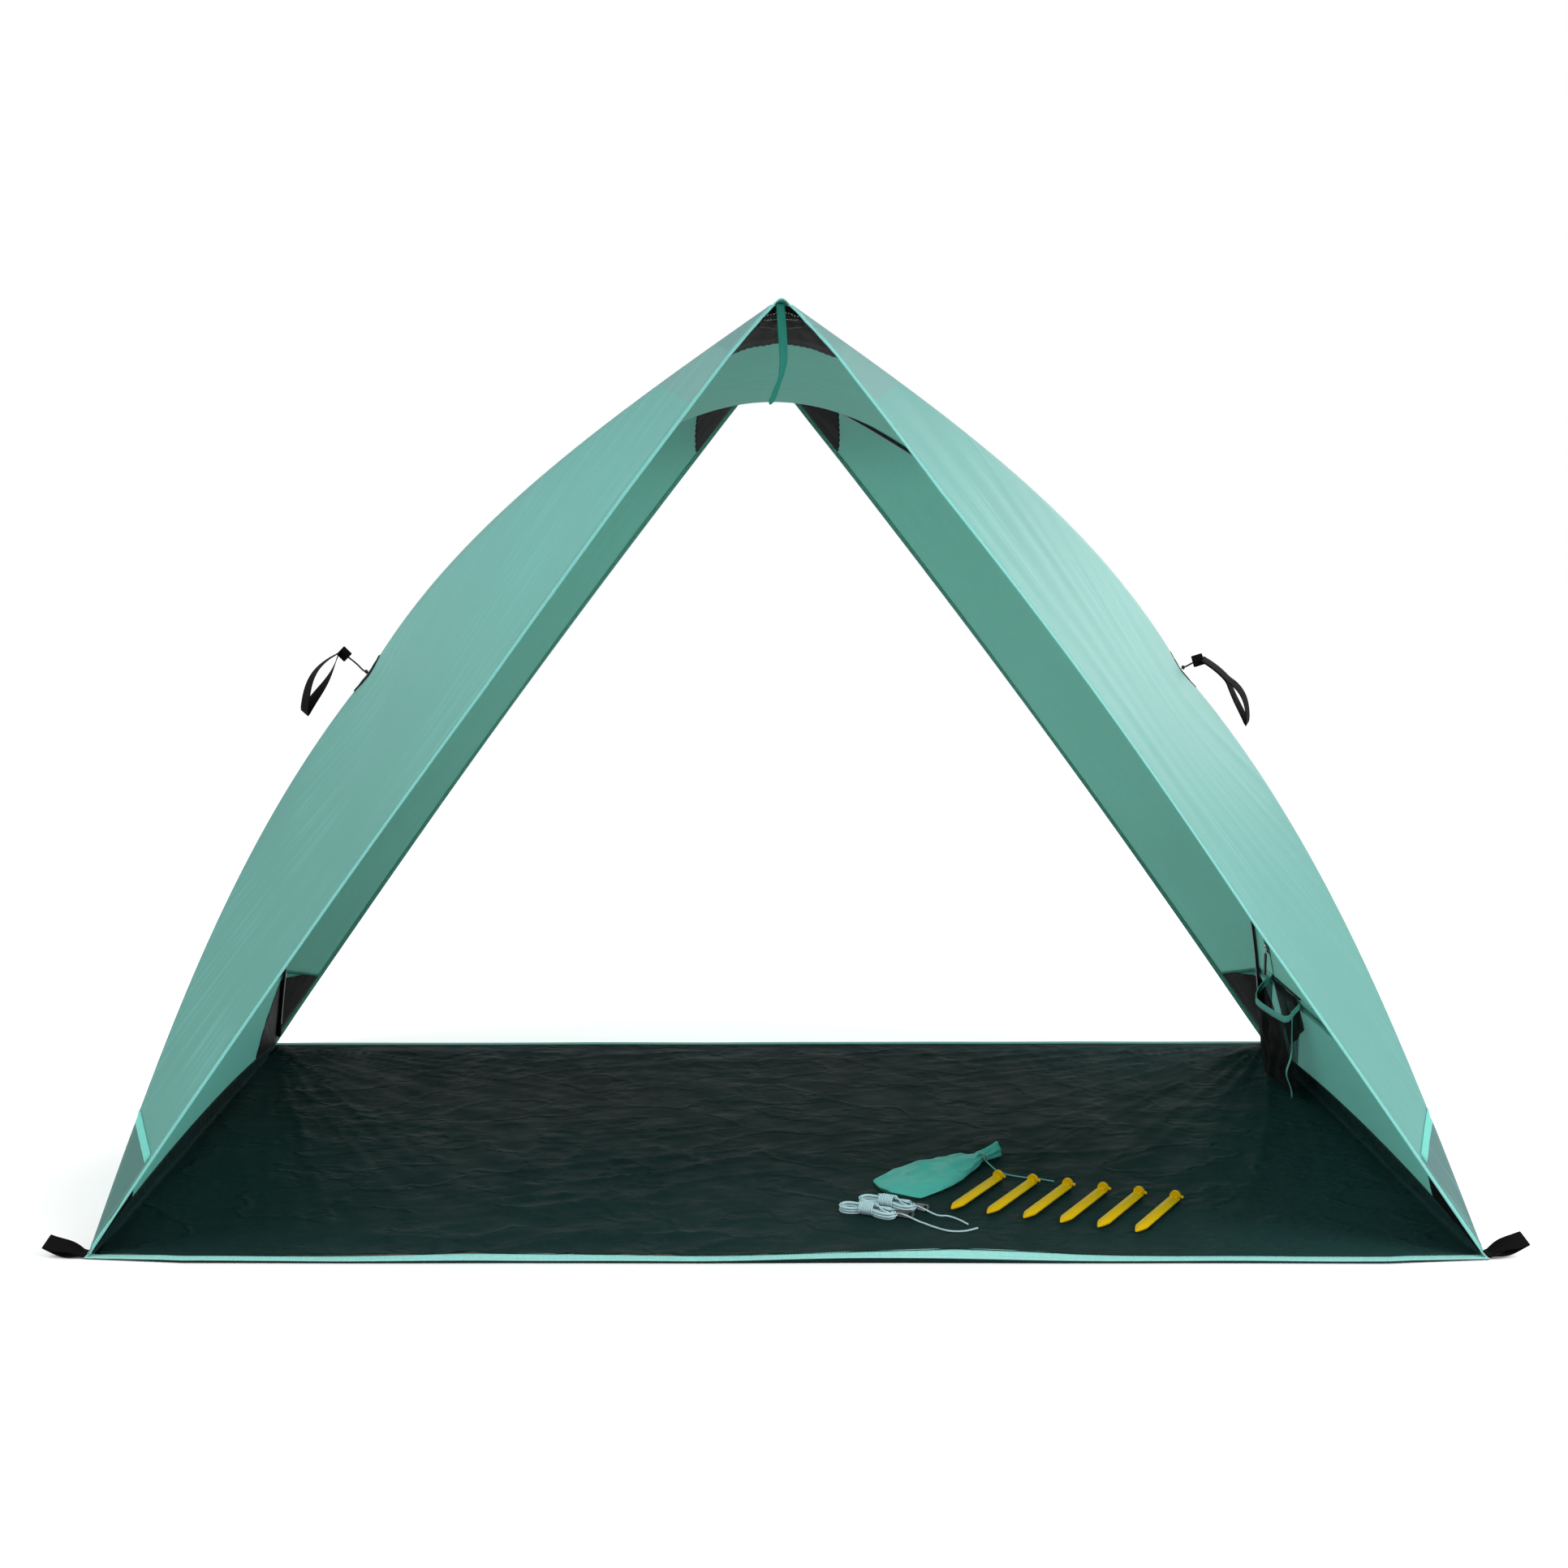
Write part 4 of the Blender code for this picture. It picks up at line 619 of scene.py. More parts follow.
def pinned_wall(cells):
    """Places of the straight wall, bowed along the poles and edges, and which of them the tent holds."""
    station, column = np.meshgrid(np.arange(cells + 1), np.arange(2 * cells + 1), indexing="ij")
    side = np.where(column <= cells, -1, 1)
    row = np.where(column <= cells, column, 2 * cells - column)
    rise = row / cells
    on_pole = (row == station) | (row == cells - station)
    on_edge = (station == 0) | (station == cells)
    bow = np.where(on_pole, POLE_BULGE, np.where(on_edge, EDGE_BOW, 0)) * np.sin(np.pi * rise)
    slack = SLACK_BOW * np.sin(np.pi * np.clip((rise - 0.35) / 0.65, 0, 1))
    bow += np.where((station == 0) & (side > 0), slack, 0)
    for half, bows in PEAK_BOWS.items():
        bow += np.where((station == 0) & (side == half), np.interp(rise, PEAK_RISES, bows), 0)
    points = np.stack([side * FOOT_X * (1 - rise), -HALF_DEPTH + GROUND_DEPTH * station / cells,
                       FOOT_Z + (PEAK_HEIGHT - FOOT_Z) * rise], axis=-1)
    points[..., 0] += bow * side * (PEAK_HEIGHT - FOOT_Z) / SLOPE
    points[..., 2] += bow * FOOT_X / SLOPE
    return points, on_pole | on_edge | (row == 0)


def finer(points):
    """The same grid with a point halfway along each side of each cell."""
    rows, columns = points.shape[:2]
    dense = np.zeros((2 * rows - 1, 2 * columns - 1, 3))
    dense[::2, ::2] = points
    dense[1::2, ::2] = (points[:-1] + points[1:]) / 2
    dense[:, 1::2] = (dense[:, :-2:2] + dense[:, 2::2]) / 2
    return dense


def taut_wall():
    """The canopy pulled taut over the poles from foot to foot, first as a coarse net, then finer ones."""
    points = None
    for cells in WALL_LEVELS:
        pinned, held = pinned_wall(cells)
        points = pinned if points is None else np.where(held[..., None], pinned, finer(points))
        free = ~held
        for _ in range(RELAX_SWEEPS):
            along = points[:-2, 1:-1] + points[2:, 1:-1]
            across = points[1:-1, :-2] + points[1:-1, 2:]
            pulled = points.copy()
            pulled[1:-1, 1:-1] = (TENSION_RATIO * along + across) / (2 * TENSION_RATIO + 2)
            points = np.where(free[..., None], pulled, points)
    return points


WALL = taut_wall()
OUTWARD = np.cross(np.gradient(WALL, axis=1), np.gradient(WALL, axis=0))
OUTWARD /= np.linalg.norm(OUTWARD, axis=-1, keepdims=True)


def between_points(table, across, back):
    column = np.clip((across / SLOPE + 1) * CELLS, 0, 2 * CELLS - 1e-6)
    station = np.clip(back / GROUND_DEPTH * CELLS, 0, CELLS - 1e-6)
    left, near = column.astype(int), station.astype(int)
    x, y = (column - left)[..., None], (station - near)[..., None]
    low = table[near, left] * (1 - x) + table[near, left + 1] * x
    high = table[near + 1, left] * (1 - x) + table[near + 1, left + 1] * x
    return low * (1 - y) + high * y


def noise_at(*place):
    """Even noise from -1 to 1 at a place. A third number far from another's gives a pattern of its own."""
    return noise.noise(Vector(place))


PULL_HEIGHT = 0.0012
CORNER_CREASE = 0.0042
CORNER_CREASE_REACH = 0.20
PEAK_CREASE = 0.0030
PEAK_CREASE_REACH = 0.16
QUIET_RUN = 0.05
QUIET_EDGE = 0.03


def ripple(across, back):
    """How far the cloth stands off its taut place: long pulls along the slope, and creases at the corners."""
    result = np.zeros(across.shape)
    for place in np.ndindex(across.shape):
        u, v = float(across[place]), float(back[place])
        edge = min(v, GROUND_DEPTH - v)
        station = v / GROUND_DEPTH
        rise = 1 - abs(u) / SLOPE
        to_pole = min(abs(rise - station), abs(rise - 1 + station)) * GROUND_DEPTH
        free = min(1.0, to_pole / QUIET_RUN)
        long_pull = noise_at(u * 1.6, v * 30.0, 3.0) + 0.5 * noise_at(u * 3.0, v * 70.0, 9.0)
        height = PULL_HEIGHT * long_pull * free * min(1.0, edge / QUIET_EDGE)
        from_foot = math.hypot(SLOPE - abs(u), edge)
        turn = math.atan2(edge, SLOPE - abs(u) + 0.02)
        corner = noise_at(turn * 9.0, from_foot * 2.5, 20.0 + math.copysign(4.0, u))
        fade = math.exp(-from_foot / CORNER_CREASE_REACH)
        height += CORNER_CREASE * corner * fade * min(1.0, from_foot / QUIET_RUN) * free
        from_peak = math.hypot(u, edge)
        turn = math.atan2(u, edge + 0.02)
        peak = noise_at(turn * 9.0, from_peak * 3.0, 31.0)
        fade = math.exp(-from_peak / PEAK_CREASE_REACH)
        height += PEAK_CREASE * peak * fade * min(1.0, from_peak / QUIET_RUN) * free
        result[place] = height
    return result


def wall_at(across, back, out):
    """Points of the wall at places of the flat cloth, moved outwards."""
    across, back = np.broadcast_arrays(np.asarray(across, float), np.asarray(back, float))
    reach = out + ripple(across, back)
    place = between_points(WALL, across, back)
    near = np.abs(across) < RIDGE_ROUND
    share = ((across[near] / RIDGE_ROUND + 1) / 2)[:, None]
    left, top, right = (between_points(WALL, np.full(len(share), u), back[near])
                        for u in (-RIDGE_ROUND, 0.0, RIDGE_ROUND))
    top = top + (top - (left + right) / 2) * RIDGE_SWELL
    place[near] = (1 - share) ** 2 * left + 2 * share * (1 - share) * top + share ** 2 * right
    return place + between_points(OUTWARD, across, back) * reach[..., None]


def wall_point(across, back, out):
    return Vector(wall_at(np.array([across]), np.array([back]), out)[0])


def wall_layer(name, across, back, out, thickness, materials, slants=None):
    """A piece of cloth on the wall, its outer side at a distance out of the wall."""
    across, back = np.broadcast_arrays(across, back)
    return sheet_piece(name, wall_at(across, back, out), np.stack([across, back], axis=-1), thickness,
                       materials, slants)


def lines_between(low, high, step):
    """Grid lines of the wall between two places, with both places themselves."""
    first = math.floor(low / step) + 1
    last = math.ceil(high / step) - 1
    inside = [index * step for index in range(first, last + 1)]
    inside = [line for line in inside if low + step / 4 < line < high - step / 4]
    return np.array([low, *inside, high])


def lines_across(low, high, step):
    """The same, with more lines where the cloth rounds over the ridge."""
    ridge = [line for line in RIDGE_ROUND * np.linspace(-1, 1, 9) if low < line < high]
    return np.unique(np.concatenate([lines_between(low, high, step), ridge]))


def crease_slants(across, back):
    """Which way each cell is cut, so that no cell's diagonal crosses a pole."""
    u = (across[:-1] + across[1:]) / 2
    v = (back[:-1] + back[1:]) / 2
    rise = 1 - np.abs(u)[None, :] / SLOPE
    station = v[:, None] / GROUND_DEPTH
    rising = (station - 0.5) * (rise - 0.5) > 0
    return rising == (u[None, :] < 0)


SIDES = ((-1, "left"), (1, "right"))
CUT_EDGE = 0.0015


def add_cloth(name, low, high, materials, replaced):
    across = lines_across(low, high, SLOPE / CELLS)
    back = lines_between(CUT_EDGE, GROUND_DEPTH - CUT_EDGE, GROUND_DEPTH / CELLS)
    piece = wall_layer(name, across[None, :], back[:, None], FABRIC, FABRIC, materials,
                       crease_slants(across, back))
    settle(piece, "tent", replaced)


def add_canopy():
    """The roof and both walls as one cloth, and the skirt sewn to each lower edge."""
    seam = SLOPE - SEAM_RISE
    add_cloth("canopy", -seam, seam, [CLOTH, CLOTH_INNER], ("canopy_left", "canopy_right"))
    for side, word in SIDES:
        low, high = sorted((side * seam, side * SLOPE))
        add_cloth("skirt_" + word, low, high, [CLOTH, SKIRT_INNER], ("skirt_" + word,))


# Rows of stitches


STITCH_SHARES = (0.0, 0.3, 0.7, 1.0)
STITCH_LIFTS = (0.0, 1.0, 1.0, 0.0)
STITCH_WIDTHS = (0.4, 1.0, 1.0, 0.4)


def at_lengths(places, along, path):
    """Points of a path at distances along it."""
    return np.stack([np.interp(places, along, path[:, axis]) for axis in range(3)], axis=-1)


def add_stitches(name, path, up, material):
    """A row of sewn stitches along a path, each a short rounded bar that dips into the cloth at its ends."""
    path = np.asarray(path, float)
    up = np.broadcast_to(np.asarray(up, float), path.shape)
    along = lengths_along(path)
    points, faces = [], []
    for index in range(int((along[-1] - STITCH) / STITCH_PITCH)):
        start = STITCH_PITCH * (index + 0.5)
        ends = at_lengths([start + STITCH * share for share in STITCH_SHARES], along, path)
        normal = at_lengths(start, along, up)
        side = np.cross(normal, ends[-1] - ends[0])
        side = side / np.linalg.norm(side) * THREAD
        first = len(points)
        for centre, lift, width in zip(ends, STITCH_LIFTS, STITCH_WIDTHS):
            top = centre + normal * (2 * THREAD * lift + THREAD * 0.4)
            points += [centre - side * width, top, centre + side * width, centre - normal * THREAD]
        for ring in range(3):
            a = first + 4 * ring
            for corner in range(4):
                after = (corner + 1) % 4
                faces.append((a + corner, a + after, a + 4 + after, a + 4 + corner))
        faces += [(first + 3, first + 2, first + 1, first), (first + 12, first + 13, first + 14, first + 15)]
    piece = mesh_piece(name, points, faces, np.array(points)[:, :2], [material])
    turn_outwards(piece)
    settle(piece, "tent")


def turn_outwards(piece):
    shape = bmesh.new()
    shape.from_mesh(piece.data)
    bmesh.ops.recalc_face_normals(shape, faces=shape.faces)
    shape.to_mesh(piece.data)
    shape.free()


def wall_stitches(name, across, back, out, material):
    """Stitches along a line of the flat cloth, lying on the layer whose face is at that distance out."""
    across, back = np.broadcast_arrays(np.asarray(across, float), np.asarray(back, float))
    facing = between_points(OUTWARD, across, back) * (1 if out > 0 else -1)
    add_stitches(name, wall_at(across, back, out), facing, material)


# Bindings and tapes


# The binding's section: how far each corner lies in from the cut edge and out from the wall, in millimetres
BINDING_SECTION = ((14.0, 1.50), (13.6, 1.62), (7.5, 1.66), (1.2, 1.62), (0.2, 1.35), (-0.2, 0.5),
                   (0.2, -0.35), (1.2, -0.62), (7.5, -0.66), (13.6, -0.62), (14.0, -0.35), (13.5, -0.02),
                   (7.0, -0.02), (3.0, 0.2), (2.8, 0.5), (3.0, 0.8), (7.0, 1.02), (13.5, 1.02))
BINDING_STITCHES = (("outer", 0.00166, 0.0110), ("outer_edge", 0.00164, 0.0048), ("inner", -0.00066, 0.0110))
OUTER_FACES = 2
FOLD_FACES = 5


def binding_parts(rings, sides):
    """Which finish each face of a binding has: its fold is tape, its two flat sides match the wall."""
    around = [1] * OUTER_FACES + [0] * FOLD_FACES + [2] * (sides - OUTER_FACES - FOLD_FACES)
    return around * (rings - 1) + [0, 0]


def add_bindings():
    """Tape folded over the cut edge of each opening, thicker at its fold, with stitches on each face."""
    across = lines_across(-SLOPE, SLOPE, SLOPE / CELLS / 2)
    sides = len(BINDING_SECTION)
    for word, rear in (("front", False), ("rear", True)):
        rings = []
        for inward, out in BINDING_SECTION:
            inward = inward / 1000
            back = np.full(across.shape, GROUND_DEPTH - inward if rear else inward)
            rings.append(wall_at(across, back, out * 0.001))
        points = np.stack(rings, axis=1)
        run = np.repeat(across[:, None], sides, axis=1)
        breadth = np.repeat(np.cumsum([0.002] * sides)[None, :], len(across), axis=0)
        faces = grid_faces(len(across), sides, closed=True)
        faces += [tuple(range(sides)), tuple(reversed(range(run.size - sides, run.size)))]
        name = "edge_binding_" + word
        piece = mesh_piece(name, points.reshape(-1, 3), faces, np.stack([run, breadth], -1).reshape(-1, 2),
                           [EDGE_TAPE, CLOTH, CLOTH_INNER], binding_parts(len(across), sides))
        turn_outwards(piece)
        settle(piece, "tent", (name,))
        for face, out, inward in BINDING_STITCHES:
            back = GROUND_DEPTH - inward if rear else inward
            wall_stitches(f"{name}_stitches_{face}", across, back, out, TEAL_THREAD)


def add_seam_tapes():
    """The flat-felled seam between roof and skirt: a raised tape with two rows of stitches."""
    start = BINDING_WIDTH + GAP
    back = lines_between(start, GROUND_DEPTH - start, GROUND_DEPTH / CELLS)
    seam = SLOPE - SEAM_RISE
    shares = np.array([-1.0, -0.97, -0.6, 0.0, 0.6, 0.97, 1.0])
    out = 0.0013 + 0.0008 * np.array([0.3, 0.9, 1.0, 0.92, 1.0, 0.9, 0.3])
    for side, word in SIDES:
        across = side * seam + shares * TAPE_WIDTH / 2
        piece = wall_layer("seam_tape_" + word, across[None, :], back[:, None], out[None, :], 0.0006, [TAPE])
        settle(piece, "tent", ("seam_tape_" + word,))
        for row, share in (("upper", -0.72), ("lower", 0.72)):
            place = side * (seam + share * TAPE_WIDTH / 2)
            wall_stitches(f"seam_stitches_{word}_{row}", place, back, 0.0021, TEAL_THREAD)


# Black reinforcing patches, scalloped where they were cut with pinking shears


def scallop(length, count, depth):
    """A wavy offset along a cut edge."""
    return depth * np.abs(np.sin(np.pi * count * length))


def patch_grid(front, near, far_line, rows):
    """Places of a patch that runs back from an opening's edge to a far line."""
    share = np.linspace(0, 1, rows)[:, None]
    back = near + (far_line - near)[None, :] * share
    return back if front else GROUND_DEPTH - back


# Each patch's far edge: distances from its middle or its foot, and how far back the edge lies there
FRONT_PATCH_EDGE = ((0.0, 0.050, 0.090, 0.106), (0.134, 0.138, 0.146, 0.148))
REAR_PATCH_EDGE = ((0.0, 0.100, 0.145, 0.165, 0.205, 0.228), (0.130, 0.128, 0.114, 0.092, 0.050, 0.018))
CORNER_PATCH_EDGE = ((0.0, 0.018, 0.060, 0.107, 0.186), (0.055, 0.112, 0.160, 0.192, 0.200))
PATCH_OUT = -0.0009
PATCH_THICKNESS = 0.0006
CORNER_SCALLOPS = 110


def add_patch(name, across, back, inside_out):
    piece = wall_layer(name, across, back, PATCH_OUT, PATCH_THICKNESS, [BLACK_CLOTH])
    if inside_out:
        turn_outwards(piece)
    settle(piece, "tent", (name,))


def add_patches():
    """At each opening: the patch under the peak, the patch at each foot, and the poles' pockets."""
    near = BINDING_WIDTH + GAP
    for front, end, far_end in ((True, "front", "rear"), (False, "rear", "front")):
        drop, edge, count, depth = (FRONT_PATCH_DROP, FRONT_PATCH_EDGE, 95, 0.0028) if front else (
            REAR_PATCH_DROP, REAR_PATCH_EDGE, 120, 0.0042)
        across = np.linspace(-drop, drop, 161)
        far = np.interp(np.abs(across), *edge)
        far = far + scallop(across, count, depth)
        back = patch_grid(front, near, far, 26)
        name = "apex_patch_" + end
        add_patch(name, np.broadcast_to(across, back.shape), back, not front)
        inner = far - 0.006
        line = inner if front else GROUND_DEPTH - inner
        wall_stitches(name + "_stitches", across, line, -0.0015, BLACK_THREAD)
        for side, word in SIDES:
            add_pole_pocket(f"pole_pocket_{end}_peak_{word}", POLES[f"{far_end}_{word}"][::-1])
            foot = SLOPE - CORNER_PATCH_RISE
            rise = np.linspace(0, 1, 81)
            height = (SLOPE - 0.004 - foot) * rise
            far = np.interp(height, *CORNER_PATCH_EDGE) + scallop(height, CORNER_SCALLOPS, 0.0024)
            back = patch_grid(front, near, far, 24)
            top = scallop(back - near, CORNER_SCALLOPS, 0.0026) * (1 - rise[None, :])
            add_patch(f"corner_patch_{end}_{word}", side * (foot + height[None, :] + top), back,
                      front == (side < 0))
            add_pole_pocket(f"pole_pocket_{end}_foot_{word}", POLES[f"{end}_{word}"])


PEAK_CAP_HALF = 0.036
PEAK_CAP_STITCHED_ROWS = (0, 3)


def add_peak_cap():
    """The folded black end of the pole pockets under the front peak, sewn in white."""
    across = np.linspace(-PEAK_CAP_HALF, PEAK_CAP_HALF, 25)
    back = np.linspace(0.0150, 0.060, 9)
    fold = 1 - (across / PEAK_CAP_HALF) ** 2
    crease = np.array([[noise_at(u * 90.0, v * 60.0, 41.0) for u in across] for v in back])
    out = -0.0016 - 0.0090 * fold[None, :] ** 0.7 + 0.0018 * crease
    piece = wall_layer("peak_cap", across[None, :], back[:, None], out, 0.0012, [BLACK_CLOTH])
    settle(piece, "tent")
    for row in PEAK_CAP_STITCHED_ROWS:
        path = wall_at(across, np.full(across.shape, back[row]), out[row] - 0.0013)
        facing = -between_points(OUTWARD, across, np.full(across.shape, back[row]))
        add_stitches(f"peak_cap_stitches_{row}", path, facing, WHITE_THREAD)


# Poles


def pole_line(side, front_foot):
    """A pole's centre line from foot to peak, held off the cloth, dipped where it passes under another."""
    rows = np.arange(CELLS + 1)
    station = rows if front_foot else CELLS - rows
    column = rows if side < 0 else 2 * CELLS - rows
    clear = POLE_DEPTH + POLE_CLEARANCE
    coarse = np.array([END_DEPTH, END_DEPTH, POLE_DEPTH] + [clear] * 11 + [POLE_DEPTH, END_DEPTH, END_DEPTH])
    if not front_foot:
        coarse[7:10] += (2 * POLE_RADIUS + GAP) * np.array([0.5, 1.0, 0.5])
    depth = np.interp(rows / CELLS, np.linspace(0, 1, len(coarse)), coarse)
    return WALL[station, column] - OUTWARD[station, column] * depth[:, None]


POLES = {f"{end}_{word}": pole_line(side, end == "front")
         for end in ("front", "rear") for side, word in SIDES}


def lengths_along(path):
    return np.concatenate([[0], np.cumsum(np.linalg.norm(np.diff(path, axis=0), axis=1))])


def cut_path(path, start, end, step):
    """The points of a path between two distances along it, at a steady step."""
    count = max(2, math.ceil((end - start) / step) + 1)
    return at_lengths(np.linspace(start, end, count), lengths_along(path), path)


def tube_piece(name, path, radii, sides, material):
    """A tube with rounded ends along a path, on a map of its length and the way round it."""
    path = np.asarray(path, float)
    radii = np.broadcast_to(np.asarray(radii, float), (len(path),))
    along = lengths_along(path)
    headings = np.gradient(path, axis=0)
    headings /= np.linalg.norm(headings, axis=1, keepdims=True)
    first = Vector(headings[0]).orthogonal().normalized()
    points, uvs = [], []
    angles = np.linspace(0, math.tau, sides, endpoint=False)
    for centre, heading, radius, length in zip(path, headings, radii, along):
        heading = Vector(heading)
        first = (first - heading * first.dot(heading)).normalized()
        second = heading.cross(first)
        for angle in angles:
            reach = first * math.cos(angle) + second * math.sin(angle)
            points.append(Vector(centre) + reach * radius)
            uvs.append((length, angle / math.tau))
    faces = grid_faces(len(path), sides, closed=True)
    faces += [tuple(reversed(range(sides))), tuple(range(len(points) - sides, len(points)))]
    piece = mesh_piece(name, points, faces, uvs, [material])
    turn_outwards(piece)
    return piece


def rounded_radii(along, radius, ending):
    """Radii that close a tube's two ends in a small curve."""
    edge = np.minimum(along, along[-1] - along)
    share = np.clip(edge / ending, 0, 1)
    return radius * np.sqrt(np.maximum(1 - (1 - share) ** 2, 0.04))


def add_poles():
    """Each pole in three sections, the middle one with a ferrule sleeve at each end."""
    start = CUP_START + 0.0013
    for word, path in POLES.items():
        length = lengths_along(path)[-1]
        section = (length - 2 * start) / 3
        low, high = start + section, start + 2 * section
        spans = {"foot": (start, low - GAP), "middle": (low - FERRULE_LENGTH / 2, high + FERRULE_LENGTH / 2),
                 "head": (high + GAP, length - start)}
        for part, (near, far) in spans.items():
            name = f"pole_{word}_{part}"
            if part == "middle":
                points, radii = middle_section(path, near, far)
            else:
                points = cut_path(path, near, far, POLE_STEP)
                radii = rounded_radii(lengths_along(points), POLE_RADIUS, 0.002)
            piece = tube_piece(name, points, radii, 16, POLE_FINISH)
            settle(piece, "tent", (name,))


def middle_section(path, near, far):
    """The line of a pole's middle section, and its radii, which are larger along the ferrules."""
    bare_start, bare_end = near + FERRULE_LENGTH, far - FERRULE_LENGTH
    points = np.concatenate([ferrule_steps(path, near, bare_start),
                             cut_path(path, bare_start + 0.002, bare_end - 0.002, POLE_STEP),
                             ferrule_steps(path, bare_end, far)])
    along = lengths_along(points)
    edge = np.minimum(along, along[-1] - along)
    radii = np.where(edge < FERRULE_LENGTH + 0.0004, FERRULE_RADIUS, POLE_RADIUS)
    return points, np.where(edge < 0.0002, POLE_RADIUS + 0.0004, radii)


def ferrule_steps(path, near, far):
    """Points along a ferrule, close together at its two lips."""
    places = [near, near + FERRULE_LIP, *np.linspace(near + 0.006, far - 0.006, 5), far - FERRULE_LIP, far]
    return at_lengths(places, lengths_along(path), path)


POCKET_RINGS = 25
POCKET_MOUTH_SHARE = 0.84


def add_pole_pocket(name, path):
    """The cloth pocket that a pole's end sits in: snug, creased, its mouth hemmed."""
    shares = np.linspace(0, 1, POCKET_RINGS)
    step = CUP_LENGTH / (POCKET_RINGS - 1)
    start = cut_path(path, CUP_START - 0.001, CUP_START + CUP_LENGTH, step)[:POCKET_RINGS]
    radii = CUP_RADIUS * (0.55 + 0.45 * np.minimum(1, shares / 0.12) ** 0.5)
    radii = radii * (1 + 0.05 * np.sin(shares * 40)) + np.where(shares > POCKET_MOUTH_SHARE, 0.0005, 0)
    piece = tube_piece(name, start, radii, 20, BLACK_CLOTH)
    settle(piece, "tent")


# Groundsheet


def ridged(value, sharpness):
    """Turns even noise into narrow crests."""
    return max(0.0, 1 - sharpness * abs(value)) ** 2


CORNER_FOLDS = ((8.0, 0.9, 1.0), (21.0, 1.7, 0.5), (44.0, 3.0, 0.26))
CORNER_FOLD_HEIGHT = 0.0062
CORNER_FOLD_REACH = 0.60
SWELL_HEIGHT = 0.0050
CREASE_HEIGHT = 0.0056
FINE_CREASE_HEIGHT = 0.0034
CALM_CENTRE = (0.36, -0.36)
CALM_REACH = (0.36, 0.20)
SHEET_EDGE = 0.010


def sheet_height(x, y):
    """The crumpled sheet: folds from the rear corners, fine creases, calm under the small parts."""
    height = 0.0
    for side in (-1, 1):
        away = Vector((x - side * GROUND_WIDTH / 2, y - HALF_DEPTH))
        distance = away.length
        turn = math.atan2(-away.y, -away.x * side)
        ridge = sum(share * ridged(noise_at(turn * fine, distance * slow, fine + side), 3.3)
                    for fine, slow, share in CORNER_FOLDS)
        fade = math.exp(-distance / CORNER_FOLD_REACH)
        height += CORNER_FOLD_HEIGHT * ridge * fade * min(1.0, distance / 0.05)
    height += SWELL_HEIGHT * (0.5 + noise_at(x * 1.3, y * 2.4, 1.0))
    crease = noise_at(x * 3.0 + y * 1.5, (y - 0.30 * x) * 12.0, 2.0)
    small = noise_at(x * 9.0 + y * 4.0, (y - 0.25 * x) * 28.0, 4.0)
    patchy = max(0.0, 0.25 + noise_at(x * 1.7, y * 2.6, 6.0))
    height += patchy * (CREASE_HEIGHT * ridged(crease, 4.0) + FINE_CREASE_HEIGHT * ridged(small, 4.0))
    away_x = (x - CALM_CENTRE[0]) / CALM_REACH[0]
    away_y = (y - CALM_CENTRE[1]) / CALM_REACH[1]
    calm = math.exp(-(away_x ** 4 + away_y ** 4))
    return max(0.0, height) * (1 - 0.92 * calm) * min(1.0, max(0.0, HALF_DEPTH - SHEET_EDGE - y) / 0.07)


def hill(x, centre, reach):
    return math.exp(-((x - centre) / reach) ** 2)


def hem_heights(x):
    """How high the front hem's outer and inner edges stand. It has rolled up more in two places."""
    ends = max(0.0, min(1.0, (GROUND_WIDTH / 2 - abs(x)) / 0.12))
    outer = 0.0032 + 0.0026 * ends
    outer += ends * (0.0046 * hill(x, 0.16, 0.20) + 0.0012 * noise_at(x * 5.0, 0.9, 13.0))
    rolled = 0.0052 * hill(x, -0.42, 0.20) + 0.0090 * hill(x, 0.30, 0.19)
    inner = outer + ends * (0.0010 + rolled + 0.0012 * noise_at(x * 4.0, 0.3, 12.0))
    return outer, inner


FRONT_BOW = 0.016
SIDE_RISE = 0.040
SIDE_STEPS = 6
SHEET_THICKNESS = 0.0008


def front_bow(x):
    """How far the front edge of the sheet lies forward of the straight line between its corners."""
    return FRONT_BOW * max(0.0, min(1.0, (GROUND_WIDTH / 2 - abs(x)) / 0.16))


def front_lift(x):
    """How high the front edge of the sheet has curled off the ground."""
    return max(0.0, hem_heights(x)[1] - 0.0030)


def side_rise(y):
    """How far the groundsheet turns up the inside of the wall, most in the middle of the side."""
    share = max(0.0, 1 - (y / HALF_DEPTH) ** 2)
    return SIDE_RISE * share ** 0.8


